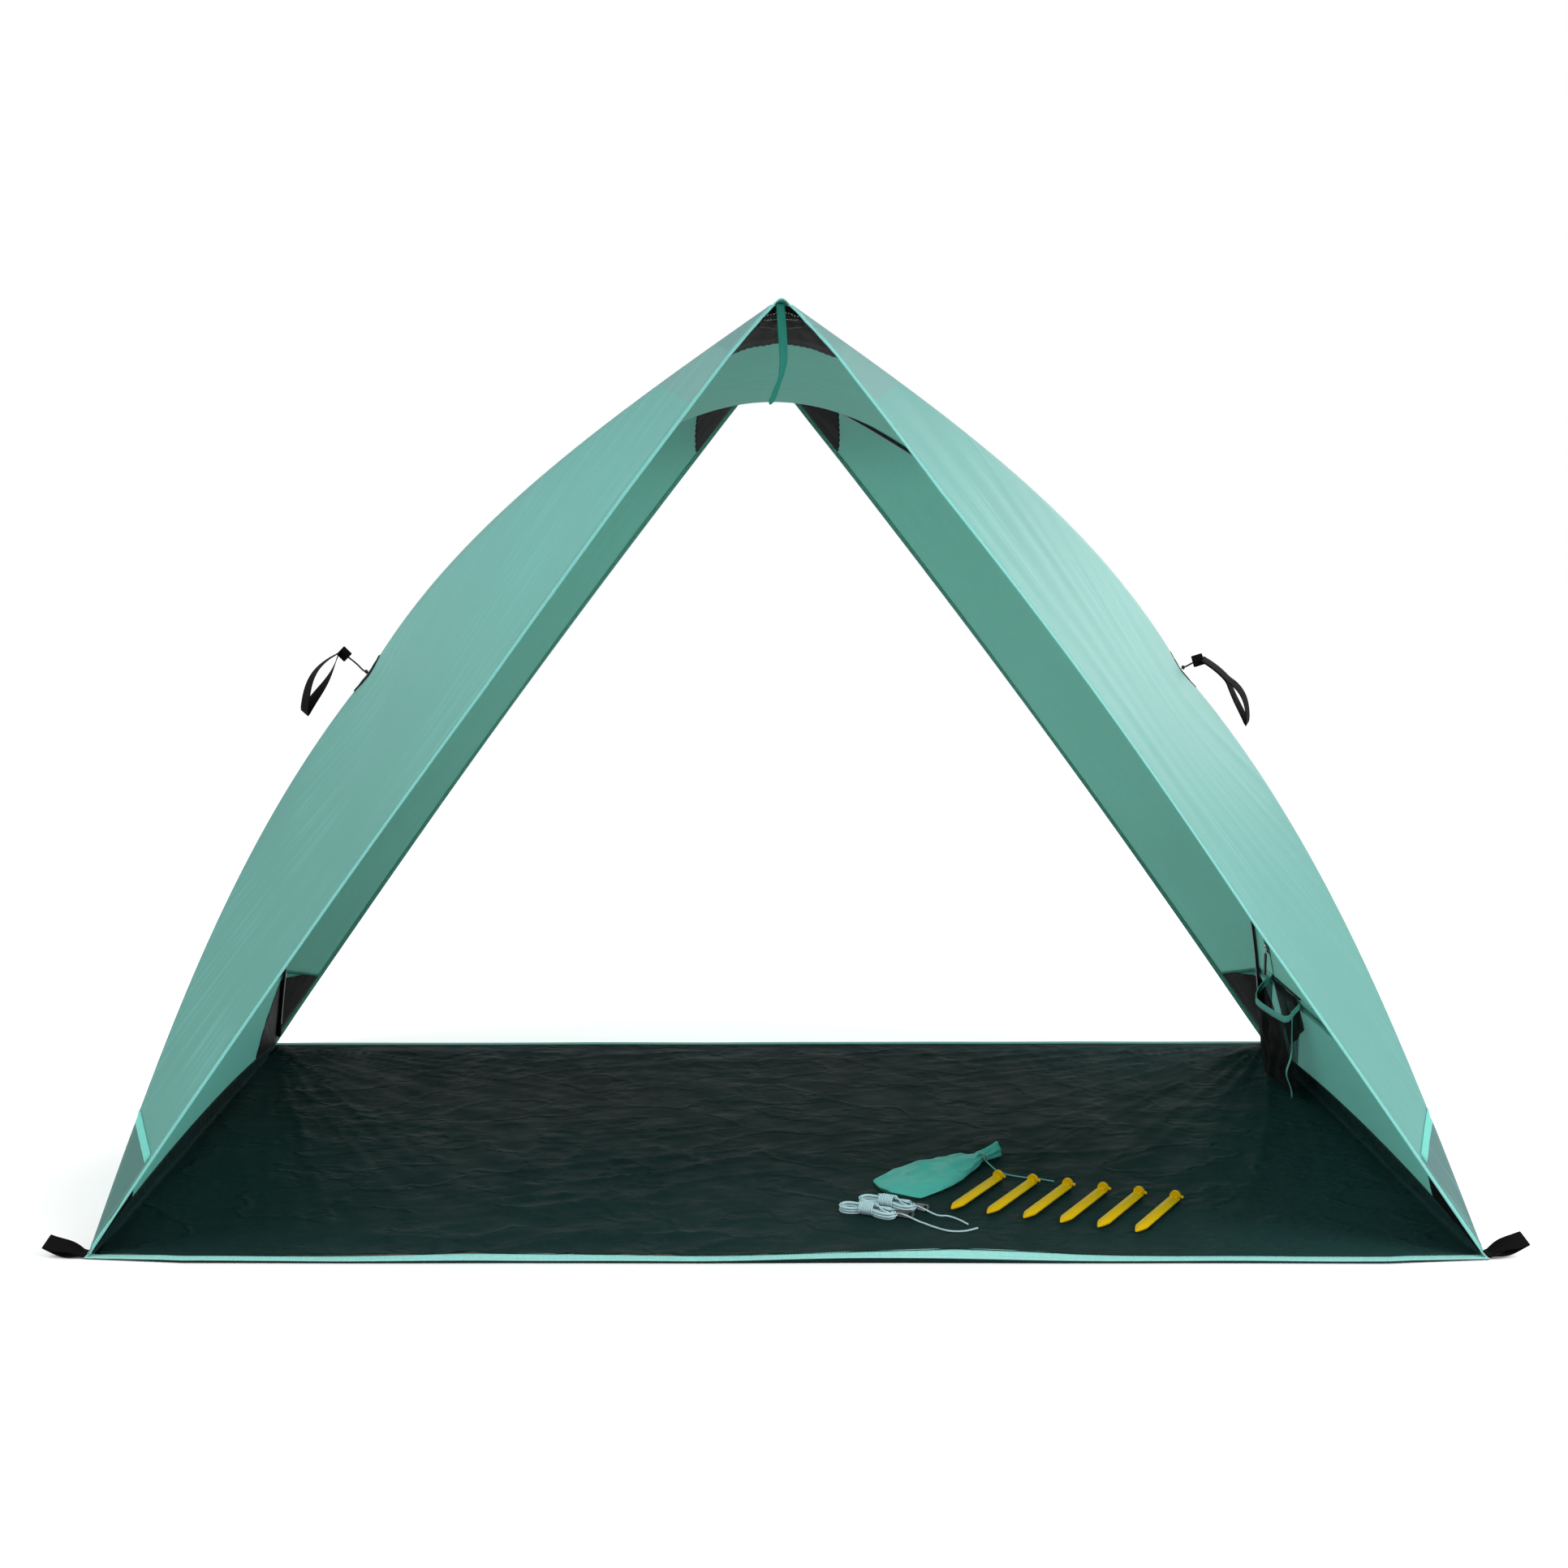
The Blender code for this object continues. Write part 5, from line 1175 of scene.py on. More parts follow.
def add_groundsheet():
    """The sheet, with its two sides turned up the wall, and its front and rear edges lifted a little off the
    ground.
    """
    half = GROUND_WIDTH / 2
    edge = HALF_DEPTH - SHEET_EDGE
    xs = np.linspace(-half + 0.012, half - 0.012, 261)
    ys = np.linspace(-edge, edge, 141)
    points = np.zeros((len(ys), len(xs) + 2 * SIDE_STEPS, 3))
    uvs = np.zeros((len(ys), len(xs) + 2 * SIDE_STEPS, 2))
    for row, y in enumerate(ys):
        line = []
        front_share = max(0.0, 1 - (y + edge) / 0.05)
        forward = max(0.0, 1 - (y + edge) / 0.14)
        for x in xs:
            side_share = max(0.0, 1 - (half - abs(x)) / 0.04)
            lift = sheet_height(x, y) * (1 - side_share) + front_lift(x) * front_share ** 2
            lift += 0.0032 * max(0.0, 1 - (edge - y) / 0.05) ** 2
            line.append((x, y - front_bow(x) * forward, 0.0014 + lift))
        for side in (-1, 1):
            strip = turned_up_side(side, y)
            line = strip[::-1] + line if side < 0 else line + strip
        points[row] = line
        lengths = lengths_along(np.array(line))
        uvs[row, :, 0] = lengths - lengths[-1] / 2
        uvs[row, :, 1] = y
    piece = sheet_piece("groundsheet", points, uvs, SHEET_THICKNESS, [SHEET_CLOTH])
    settle(piece, "tent", ("groundsheet",))


def turned_up_side(side, y):
    """Points of one row of the sheet up the inside of the wall."""
    strip = []
    back = np.array([y + HALF_DEPTH])
    for step in range(SIDE_STEPS):
        share = (step + 1) / SIDE_STEPS
        across = np.array([side * (SLOPE - side_rise(y) * share)])
        place = between_points(WALL, across, back)[0]
        facing = between_points(OUTWARD, across, back)[0]
        sag = 0.0022 + 0.0030 * (1 - share) * (1 + noise_at(y * 14.0, share, 30.0 + side))
        strip.append(tuple(place - facing * sag))
    return strip


HEM_WIDTH = 0.0150
HEM_OVERHANG = 0.002
HEM_ROWS = 9
HEM_STITCHED_ROWS = ((2, "outer"), (6, "inner"))
UNDERSIDE_ROWS = 5


def add_hem(name, front):
    """Tape bound over an edge of the sheet. At the front it has rolled forward and shows its underside."""
    xs = np.linspace(-GROUND_WIDTH / 2, GROUND_WIDTH / 2, 361)
    side = -1 if front else 1
    shares = np.linspace(0, 1, HEM_ROWS)
    top = np.zeros((HEM_ROWS, len(xs), 3))
    uvs = np.zeros((HEM_ROWS, len(xs), 2))
    for column, x in enumerate(xs):
        low, high = hem_heights(x)
        if not front:
            low = high = 0.0050 + 0.0008 * noise_at(x * 4.0, 2.0, 7.0)
        sway = 0.0030 * noise_at(x * 2.3, 5.0, 17.0) - (front_bow(x) if front else 0.0)
        for row, share in enumerate(shares):
            inward = HEM_WIDTH * share
            z = low + (high - low) * share + 0.0008 * math.sin(math.pi * share)
            top[row, column] = (x, side * (HALF_DEPTH - inward + HEM_OVERHANG) + sway, z)
            uvs[row, column] = (x, inward)
    order = slice(None) if front else slice(None, None, -1)
    piece = sheet_piece(name, top[:, order], uvs[:, order], 0.0012, [HEM_TAPE])
    settle(piece, "tent", (name,))
    for row, word in HEM_STITCHED_ROWS:
        add_stitches(f"{name}_stitches_{word}", top[row] + (0, 0, 0.0002), (0, side * 0.3, 0.95), TEAL_THREAD)
    under = np.zeros((UNDERSIDE_ROWS, len(xs), 3))
    under_uvs = np.zeros((UNDERSIDE_ROWS, len(xs), 2))
    for column, x in enumerate(xs):
        z_top = top[0, column, 2] - 0.0014
        y_out = top[0, column, 1]
        for row in range(UNDERSIDE_ROWS):
            share = row / (UNDERSIDE_ROWS - 1)
            tuck = 0.004 * (1 - math.sin(math.pi * share * 0.5))
            under[row, column] = (x, y_out - side * tuck, z_top * share + 0.0004)
            under_uvs[row, column] = (x, z_top * share)
    piece = sheet_piece(name + "_underside", under[:, order], under_uvs, 0.0006, [SHEET_CLOTH])
    settle(piece, "tent")


# Webbing loops and the strap


LOOP_POINTS = 49
LOOP_FLAT_SHARE = 0.12


def webbing_loop(name, place, length, opening, twist, curl, body, arch, flat_share=LOOP_FLAT_SHARE,
                 centre_twist=0.0):
    """A webbing loop along local X, sewn together at its seat, turned about its length, curled at its end."""
    rows = []
    inner = opening / 2
    for index in range(LOOP_POINTS):
        share = index / (LOOP_POINTS // 2)
        x_share = share if share <= 1 else 2 - share
        sign = 1 if share <= 1 else -1
        eye = math.sin(math.pi * min(1, max(0, (x_share - flat_share) / (1 - flat_share))) ** 0.9)
        fold = min(1.0, (1 - x_share) * length / (WEBBING * 1.2))
        reach = (WEBBING / 2 + inner * eye) * math.sqrt(max(0.0, 1 - (1 - fold) ** 2))
        rows.append((x_share * length, sign * reach))
    centre = np.array(rows)
    tangent = np.gradient(centre, axis=0)
    tangent /= np.maximum(np.linalg.norm(tangent, axis=1, keepdims=True), 1e-9)
    normals = np.stack([-tangent[:, 1], tangent[:, 0]], axis=1)
    across = np.linspace(-1, 1, 7)
    points, uvs = [], []
    run = lengths_along(np.column_stack([centre, np.zeros(len(centre))]))
    for (x, y), normal, length_here in zip(centre, normals, run):
        ring = [(w, 0.5) for w in across] + [(w, -0.5) for w in across[::-1]]
        for width_share, layer in ring:
            edge = 1 - 0.25 * abs(width_share) ** 6
            offset = np.array([x, y]) + normal * WEBBING * layer * edge
            share = max(0.0, min(1.0, offset[0] / length))
            angle = centre_twist + twist * share * share * (3 - 2 * share)
            breadth = WEBBING_WIDTH / 2 * width_share
            local_y = offset[1] * math.cos(angle) - breadth * math.sin(angle) + curl * share ** 2
            local_y += 4 * arch * share * (1 - share)
            local_z = offset[1] * math.sin(angle) + breadth * math.cos(angle)
            points.append(place @ Vector((offset[0], local_y, local_z)))
            uvs.append((length_here, width_share / 2))
    columns = 2 * len(across)
    faces = grid_faces(len(centre), columns, closed=True)
    faces += [tuple(reversed(range(columns))), tuple(range(len(points) - columns, len(points)))]
    piece = mesh_piece(name, points, faces, uvs, [WEBBING_FINISH])
    turn_outwards(piece)
    return settle(piece, body, (name,))


def frame_at(point, x_axis, y_axis):
    turn = Matrix((x_axis, y_axis, x_axis.cross(y_axis))).transposed().to_4x4()
    return Matrix.Translation(point) @ turn


TIE_OUT_RADIUS = 0.0016
TIE_OUT_PATCH = (0.080, 0.060)
TIE_OUT_TAB = (0.020, 0.021, 0.0052)
LEFT_TIE_OUT = {"tab": (0.0425, 0.0325), "lean": math.radians(45), "drop": math.radians(58), "length": 0.134,
                "opening": 0.026, "twist": 0.80, "turn": 0.12, "flat": 0.06, "arch": 0.008,
                "patch_out": 0.0030, "patch": 0.0017}
RIGHT_TIE_OUT = {"tab": (0.029, 0.013), "lean": math.radians(17), "drop": math.radians(54), "length": 0.146,
                 "opening": 0.015, "twist": 0.10, "turn": 0.52, "flat": 0.40, "arch": 0.017,
                 "patch_out": 0.0017, "patch": 0.0006}


def add_tie_outs():
    """At each side: the patch over the crossing, a knotted cord, its tab, and the webbing loop on it."""
    middle = GROUND_DEPTH / 2
    half_across, half_back = TIE_OUT_PATCH[0] / 2, TIE_OUT_PATCH[1] / 2
    for (side, word), lie in zip(SIDES, (LEFT_TIE_OUT, RIGHT_TIE_OUT)):
        crossing = side * SLOPE / 2
        rows = np.linspace(-half_back, half_back, 13)
        across = crossing + np.linspace(-half_across, half_across, 17)
        patch = wall_layer("tie_out_patch_" + word, across[None, :], middle + rows[:, None], lie["patch_out"],
                           lie["patch"], [BLACK_CLOTH])
        settle(patch, "tent", ("tie_out_patch_" + word,))
        body = "side_tie_out_" + word
        knot = wall_point(crossing, middle, 0.0026)
        knot.x += side * TIE_OUT_RADIUS
        tab = knot + Vector((side * lie["tab"][0], 0, lie["tab"][1]))
        lean = Vector((side * math.cos(lie["lean"]), 0, math.sin(lie["lean"])))
        down = Vector((side * math.cos(lie["drop"]), 0, -math.sin(lie["drop"])))
        sag = knot.lerp(tab, 0.5) + Vector((0, 0, -0.001))
        route = smooth_route([knot, knot + Vector((side * 0.008, 0, 0.002)), sag, tab], CORD_STEP)
        seat = frame_at(tab + lean * 0.008, down, down.cross(Vector((0, 1, 0))))
        webbing_loop("side_loop_" + word, seat, lie["length"], lie["opening"], lie["twist"] * side, 0.0, body,
                     lie["arch"] * side, lie["flat"], lie["turn"] * side)
        fold = add_tab("side_loop_tab_" + word, tab, lean, body)
        cord = tube_piece("tie_out_cord_" + word, route, TIE_OUT_RADIUS, 12, BLACK_CORD)
        settle(cord, body, ("tie_out_cord_" + word,))
        add_knot("tie_out_knot_" + word, knot + Vector((side * 0.0028, 0, 0)), 0.0042, body)


KNOT_STEPS = 60
CORD_STEP = 0.002


def add_knot(name, centre, size, body, material=BLACK_CORD):
    """A small overhand knot: one cord turned round itself."""
    path = []
    swell = size * 0.42
    for index in range(KNOT_STEPS + 1):
        turn = math.tau * index / KNOT_STEPS * 2
        radius = swell + swell * 0.5 * math.cos(turn * 1.5)
        path.append(centre + Vector((swell * 0.9 * math.sin(turn * 1.5), radius * math.cos(turn),
                                     radius * math.sin(turn))))
    knot = tube_piece(name, path, TIE_OUT_RADIUS * 0.9, 10, material)
    settle(knot, body)


def add_tab(name, place, lean, body):
    """The square of webbing folded over the cord, above the loop."""
    tab = box_piece(name, TIE_OUT_TAB, WEBBING_FINISH, 0.0016,
                    frame_at(place, lean, lean.cross(Vector((0, 1, 0)))))
    return settle(tab, body)


def box_piece(name, size, material, rounding, place):
    """A rounded block, modelled at the origin, then set in place."""
    bpy.ops.mesh.primitive_cube_add(size=1)
    piece = bpy.context.object
    piece.name = piece.data.name = name
    piece.data.uv_layers[0].name = CLOTH_MAP
    bpy.ops.object.mode_set(mode="EDIT")
    bpy.ops.transform.resize(value=size)
    bpy.ops.object.mode_set(mode="OBJECT")
    apply_modifier(piece, "BEVEL", width=rounding, segments=3, limit_method="ANGLE")
    piece.data.transform(place)
    piece.data.materials.append(material)
    shade_round(piece)
    return piece


def shade_round(piece):
    take(piece)
    bpy.ops.object.shade_smooth_by_angle(angle=math.radians(35))
    piece.select_set(False)


def smooth_route(points, spacing):
    """Points at a steady spacing on a smooth curve through the chosen ones."""
    ends = [points[0] * 2 - points[1], *points, points[-1] * 2 - points[-2]]
    fine = []
    for before, start, end, after in zip(ends, ends[1:], ends[2:], ends[3:]):
        pieces = max(2, math.ceil((end - start).length / spacing))
        for index in range(pieces):
            share = index / pieces
            square, cube = share ** 2, share ** 3
            point = start * (2 - 5 * square + 3 * cube) + before * (2 * square - cube - share)
            point += end * (share + 4 * square - 3 * cube) + after * (cube - square)
            fine.append(point / 2)
    fine.append(points[-1].copy())
    return fine


CORNER_LOOP_ANGLE = math.radians(32)
CORNER_LOOP_LENGTH = 0.064
CORNER_LOOP_OPENING = 0.012
CORNER_LOOP_SEAT = 0.0006
CORNER_LOOP_LIES = {"left": {"twist": 0.95, "curl": -0.016, "arch": -0.006},
                    "right": {"twist": 0.85, "curl": -0.009, "arch": -0.003}}


def add_corner_loops():
    """The webbing loops for the pegs, one at each ground corner, the left ones curled more than the right."""
    half = CORNER_LOOP_SEAT + WEBBING
    y = HALF_DEPTH - WEBBING_WIDTH / 2
    cosine, sine = math.cos(CORNER_LOOP_ANGLE), math.sin(CORNER_LOOP_ANGLE)
    for side, word in SIDES:
        lie = CORNER_LOOP_LIES[word]
        along = Vector((side * cosine, 0, sine))
        up = Vector((-side * sine, 0, cosine))
        for end, way in (("front", 1), ("rear", -1)):
            seam = Vector((side * GROUND_WIDTH / 2, -way * y, 0.0015))
            seat = seam + along * 0.0010 + up * (half + 0.0004)
            name = f"corner_loop_{end}_{word}"
            webbing_loop(name, frame_at(seat, along, up), CORNER_LOOP_LENGTH, CORNER_LOOP_OPENING,
                         lie["twist"] * way * side, lie["curl"], name + "_body", lie["arch"])


STRAP_SHARES = (0.0, 0.2, 0.4, 0.5, 0.6, 0.7, 0.8, 0.9, 1.0)
STRAP_SWAYS = (-0.0015, 0.0005, 0.0025, 0.0030, 0.0022, -0.0005, -0.0052, -0.0108, -0.0170)
STRAP_TURNS = ((0.40, 0.75, 1.0), (0, 1, 0.75))
STRAP_HALF = 0.0064
STRAP_THICKNESS = 0.0011
STRAP_SLACK = 1.06


def add_apex_strap():
    """The hanging strap under the peak, a tape that turns and narrows at its cut end."""
    low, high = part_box("apex_strap")
    rows = np.linspace(0, 1, 45)
    across = np.linspace(-1, 1, 7)
    points = np.zeros((len(rows), len(across), 3))
    uvs = np.zeros((len(rows), len(across), 2))
    length = high.z - low.z
    for row, share in enumerate(rows):
        z = high.z - 0.0005 - share * length * STRAP_SLACK
        turn = 0.10 + float(np.interp(share, *STRAP_TURNS))
        half = STRAP_HALF * math.sqrt(max(0.05, 1 - max(0.0, (share - 0.94) / 0.06) ** 2))
        centre_x = float(np.interp(share, STRAP_SHARES, STRAP_SWAYS))
        centre_y = (low.y + high.y) / 2 + 0.004 * math.sin(share * 4)
        for column, w in enumerate(across):
            reach = half * w
            points[row, column] = (centre_x + reach * math.cos(turn), centre_y + reach * math.sin(turn), z)
            uvs[row, column] = (w * 0.0075, share * length)
    piece = sheet_piece("apex_strap", points, uvs, STRAP_THICKNESS, [STRAP_TAPE])
    settle(piece, "apex_strap_body", ("apex_strap",))


# Mesh pocket and zip


POCKET_WIDTH = 0.190
POCKET_HEIGHT = 0.190
POCKET_DEPTH = 0.052
POCKET_FOOT_DEPTH = 0.026
POCKET_REAR = 0.960
RIM_SHARES = (0.0, 0.04, 0.10, 0.18, 0.26, 0.40, 0.65, 0.86, 0.93, 0.97, 1.0)
RIM_REACHES = (0.0, 0.36, 0.62, 0.80, 0.86, 0.80, 0.60, 0.40, 0.30, 0.18, 0.0)
RIM_SAGS = (0.0, 0.008, 0.018, 0.028, 0.034, 0.037, 0.040, 0.041, 0.036, 0.022, 0.006)
POCKET_RISE = 0.205
RIM_HEIGHT = 0.014
RIM_LEVELS = np.array([0.0, 0.0015, 0.007, 0.0125, RIM_HEIGHT])
RIM_OUTS = np.array([0.0010, 0.0018, 0.0019, 0.0018, 0.0010])
RIM_STITCHED_ROWS = ((1, "upper"), (3, "lower"))
POCKET_COLUMNS = 49
POCKET_FULLNESS = 1.15
NET_THICKNESS = 0.0004


def pocket_line(drop, out=0.0):
    """The bowed front of the pocket at one level, from its rear seam to its front seam."""
    share = np.linspace(0, 1, POCKET_COLUMNS)
    back = POCKET_REAR - POCKET_WIDTH * share
    seam = between_points(WALL, np.full(POCKET_COLUMNS, SLOPE - POCKET_RISE), back)
    seam[:, 2] -= drop
    below = max(drop - RIM_HEIGHT, 0) / (POCKET_HEIGHT - RIM_HEIGHT)
    taper = 1 + (POCKET_FOOT_DEPTH / POCKET_DEPTH - 1) * below
    bulge = np.interp(share, RIM_SHARES, RIM_REACHES)
    seam[:, 0] -= 0.0010 + POCKET_DEPTH * taper * bulge + out * np.minimum(bulge * 8, 1)
    seam[:, 2] -= np.interp(share, RIM_SHARES, RIM_SAGS) * (1 - below)
    return seam, share


def add_pocket():
    """A net bag gathered on a stitched rim, and the net behind its mouth."""
    drops = np.linspace(0.002, POCKET_HEIGHT, 29)
    points = np.zeros((len(drops), POCKET_COLUMNS, 3))
    uvs = np.zeros((len(drops), POCKET_COLUMNS, 2))
    for row, drop in enumerate(drops):
        line, share = pocket_line(drop)
        slack = min(1.0, drop / 0.05)
        for column in range(POCKET_COLUMNS):
            crumple = noise_at(share[column] * 9.0, drop * 22.0, 2.0)
            line[column, 0] += 0.0060 * crumple * slack * math.sin(math.pi * share[column])
        points[row] = line
        uvs[row] = np.stack([share * POCKET_WIDTH * POCKET_FULLNESS, np.full(POCKET_COLUMNS, -drop)], axis=-1)
    piece = sheet_piece("pocket_net", points[::-1], uvs[::-1], NET_THICKNESS, [NET])
    settle(piece, "tent", ("pocket_mesh",))
    rim = np.stack([pocket_line(level, out)[0] for level, out in zip(RIM_LEVELS, RIM_OUTS)])
    rim_uvs = np.zeros((len(RIM_LEVELS), POCKET_COLUMNS, 2))
    rim_uvs[..., 0] = np.linspace(0, 0.22, POCKET_COLUMNS)
    rim_uvs[..., 1] = RIM_LEVELS[:, None]
    piece = sheet_piece("pocket_rim", rim[::-1], rim_uvs[::-1], 0.0016, [TAPE])
    settle(piece, "tent", ("pocket_rim",))
    for row, word in RIM_STITCHED_ROWS:
        add_stitches("pocket_rim_stitches_" + word, rim[row], (-1, 0, 0), TEAL_THREAD)
    back = np.linspace(POCKET_REAR - 0.004, POCKET_REAR - POCKET_WIDTH + 0.004, 33)[:, None]
    length = 0.046 + 0.094 * np.linspace(1, 0, 33)[:, None] ** 0.8
    down = SLOPE - POCKET_RISE + 0.002 + length * np.linspace(0, 1, 21)[None, :]
    creases = np.array([[noise_at(v * 38.0, u * 7.0, 51.0) for u in row] for row, v in zip(down, back[:, 0])])
    piece = wall_layer("pocket_net_back", down, back, -0.0045 - 0.0055 * creases, NET_THICKNESS, [NET])
    settle(piece, "tent")
    add_pocket_tapes()


SIDE_TAPE_COLUMN = 46
SIDE_TAPE_END = 0.012
WALL_TAPE_ENDS = (1.03, 0.58)


def add_pocket_tapes():
    """The tape down the pocket's front seam, the piping along its back edge, and the tapes on the wall."""
    seam = []
    for drop in np.linspace(0.0, POCKET_HEIGHT + SIDE_TAPE_END, 25):
        line, _ = pocket_line(min(drop, POCKET_HEIGHT))
        place = line[SIDE_TAPE_COLUMN].copy()
        place[2] -= max(0.0, drop - POCKET_HEIGHT)
        place[1] += 0.003 * math.sin(drop * 30)
        place[0] -= 0.012 * math.exp(-((drop - 0.145) / 0.030) ** 2)
        seam.append(place + np.array([-0.0016, 0, 0]))
    ribbon_piece("pocket_side_tape", seam, (0, 1, 0), 0.0085, 0.0008, TAPE)
    back = np.linspace(POCKET_REAR, POCKET_REAR - POCKET_WIDTH, 33)
    piping_line = between_points(WALL, np.full(len(back), SLOPE - POCKET_RISE), back)
    piping_line[:, 0] -= 0.0022
    piping = tube_piece("pocket_piping", piping_line, 0.0018, 10, BLACK_CLOTH)
    settle(piping, "tent")
    back = np.linspace(*WALL_TAPE_ENDS, 41)
    line = inside_line(np.full(len(back), SLOPE - POCKET_RISE + 0.004), back, 0.0010)
    ribbon_piece("inner_wall_tape", line, (0, 0, 1), 0.010, 0.0006, TAPE)
    line = inside_line(np.linspace(SLOPE - 0.285, SLOPE - POCKET_RISE, 15),
                       np.linspace(0.925, POCKET_REAR - 0.006, 15), 0.0014)
    ribbon_piece("zip_seam_tape", line, (0, 1, 0), 0.0045, 0.0006, STRAP_TAPE)


def inside_line(across, back, depth):
    """Points of the taut wall, moved into the tent."""
    return between_points(WALL, across, back) - between_points(OUTWARD, across, back) * depth


def ribbon_piece(name, path, across, width, thickness, material):
    """A flat tape along a path, its breadth along a direction."""
    path = np.asarray(path, float)
    headings = np.gradient(path, axis=0)
    along = lengths_along(path)
    points = np.zeros((len(path), 5, 3))
    uvs = np.zeros((len(path), 5, 2))
    for row, (centre, heading) in enumerate(zip(path, headings)):
        heading = Vector(heading).normalized()
        breadth = Vector(across)
        breadth = (breadth - heading * breadth.dot(heading)).normalized()
        for column, share in enumerate((-1, -0.5, 0, 0.5, 1)):
            points[row, column] = Vector(centre) + breadth * (share * width / 2)
            uvs[row, column] = (along[row], share * width / 2)
    piece = sheet_piece(name, points, uvs, thickness, [material])
    turn_outwards(piece)
    settle(piece, "tent")


ZIP_BACK = 0.945
ZIP_RISE = 0.262
ZIP_LENGTH = 0.098
ZIP_TAPE_OFFSET = 0.0085
ZIP_TAPE_WIDTH = 0.0125
COIL_TURNS = 49
COIL_STEPS = 12
COIL_PITCH = 0.00196
COIL_WIRE = 0.00042
BEAD_RADIUS = 0.0013
BEAD_DROPS = (0.0022, 0.0052)
PULL_SIZE = (0.0040, 0.0100, 0.045)
PULL_DROP = 0.0300


def zip_frame():
    """A frame at the zip's lower end: X up along the zip, Y towards the rear, Z into the tent."""
    foot = SLOPE - ZIP_RISE
    places = between_points(WALL, np.array([foot, foot - ZIP_LENGTH, foot]),
                            np.array([ZIP_BACK, ZIP_BACK, ZIP_BACK + 0.006]))
    low, high, rear = (Vector(place) for place in places)
    x_axis = (high - low).normalized()
    y_axis = rear - low
    y_axis = (y_axis - x_axis * y_axis.dot(x_axis)).normalized()
    return frame_at(low + x_axis.cross(y_axis) * GAP, x_axis, y_axis)


def add_zip():
    """A coil zip on its tapes, with a metal slider, a bead chain and a textured pull."""
    place = zip_frame()
    breadth = place.to_3x3() @ Vector((0, 1, 0))
    for side, word in ((-1, "near"), (1, "far")):
        path = [place @ Vector((x, side * ZIP_TAPE_OFFSET, 0.0006))
                for x in np.linspace(-0.010, ZIP_LENGTH + 0.006, 21)]
        ribbon_piece("zip_tape_" + word, path, breadth, ZIP_TAPE_WIDTH, 0.0006, BLACK_CLOTH)
    coil = []
    for index in range(COIL_TURNS * COIL_STEPS):
        turn = math.tau * index / COIL_STEPS
        coil.append(place @ Vector((0.001 + index / COIL_STEPS * COIL_PITCH, 0.0026 * math.sin(turn),
                                    0.0016 + 0.0009 * math.cos(turn))))
    chain = tube_piece("zip_chain", coil, COIL_WIRE, 6, BLACK_PLASTIC)
    settle(chain, "tent", ("zip_chain",))
    slider = add_slider(place)
    settle(slider, "zip_slider_body", ("zip_slider",))
    low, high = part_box("zip_pull")
    hinge = Vector(((low.x + high.x) / 2, (low.y + high.y) / 2, high.z))
    for number, drop in enumerate(BEAD_DROPS, 1):
        bead = bead_piece(f"zip_bead_{number}", hinge - Vector((0, 0, drop)), BEAD_RADIUS)
        settle(bead, "zip_pull_body")
    pull = box_piece("zip_pull", PULL_SIZE, PULL_RUBBER, 0.0014,
                     Matrix.Translation(hinge - Vector((0, 0, PULL_DROP))))
    settle(pull, "zip_pull_body", ("zip_pull",))


def bead_piece(name, centre, radius):
    bpy.ops.mesh.primitive_uv_sphere_add(segments=16, ring_count=10, radius=radius)
    bead = bpy.context.object
    bead.name = bead.data.name = name
    bead.data.transform(Matrix.Translation(centre))
    bead.data.materials.append(ZIP_METAL)
    shade_round(bead)
    return bead


SLIDER_PLATE = (0.0115, 0.0088, 0.0010)
SLIDER_LEVELS = (0.0006, 0.0040)


def add_slider(place):
    """The slider: two plates joined by a post, with a bridge for the pull."""
    parts = [box_piece("zip_slider", SLIDER_PLATE, ZIP_METAL, 0.0004,
                       place @ Matrix.Translation((0.0058, 0, level))) for level in SLIDER_LEVELS]
    parts.append(box_piece("slider_post", (0.0020, 0.0016, 0.0030), ZIP_METAL, 0.0003,
                           place @ Matrix.Translation((0.0100, 0, 0.0022))))
    parts.append(box_piece("slider_bridge", (0.0070, 0.0018, 0.0016), ZIP_METAL, 0.0007,
                           place @ Matrix.Translation((0.0055, 0, 0.0053))))
    return joined(parts, "zip_slider")


def joined(parts, name):
    """Joins pieces into the first of them."""
    take(*parts)
    bpy.ops.object.join()
    parts[0].name = parts[0].data.name = name
    parts[0].select_set(False)
    return parts[0]


# Pegs


def choose(kind, test):
    """Selects the vertices or faces of the piece being edited that pass a test."""
    bpy.ops.mesh.select_mode(type={"verts": "VERT", "faces": "FACE"}[kind])
    bpy.ops.mesh.select_all(action="DESELECT")
    shape = bmesh.from_edit_mesh(bpy.context.edit_object.data)
    for item in getattr(shape, kind):
        item.select_set(test(item))
    shape.select_flush_mode()
    bmesh.update_edit_mesh(bpy.context.edit_object.data)


def cut_across(place, normal):
    bpy.ops.mesh.select_all(action="SELECT")
    bpy.ops.mesh.bisect(plane_co=place, plane_no=normal)


PEG_LEVEL = 0.0062
PEG_BLADE = 0.0024
PEG_CUTS_ALONG = (0.003, 0.014, 0.026)
PEG_CUTS_ACROSS = (-0.0050, -0.0014, 0.0, 0.0014, 0.0050)
PEG_HEAD_PLACE = PEG_LENGTH - 0.0038
PEG_HEAD_DEPTH = 0.0074


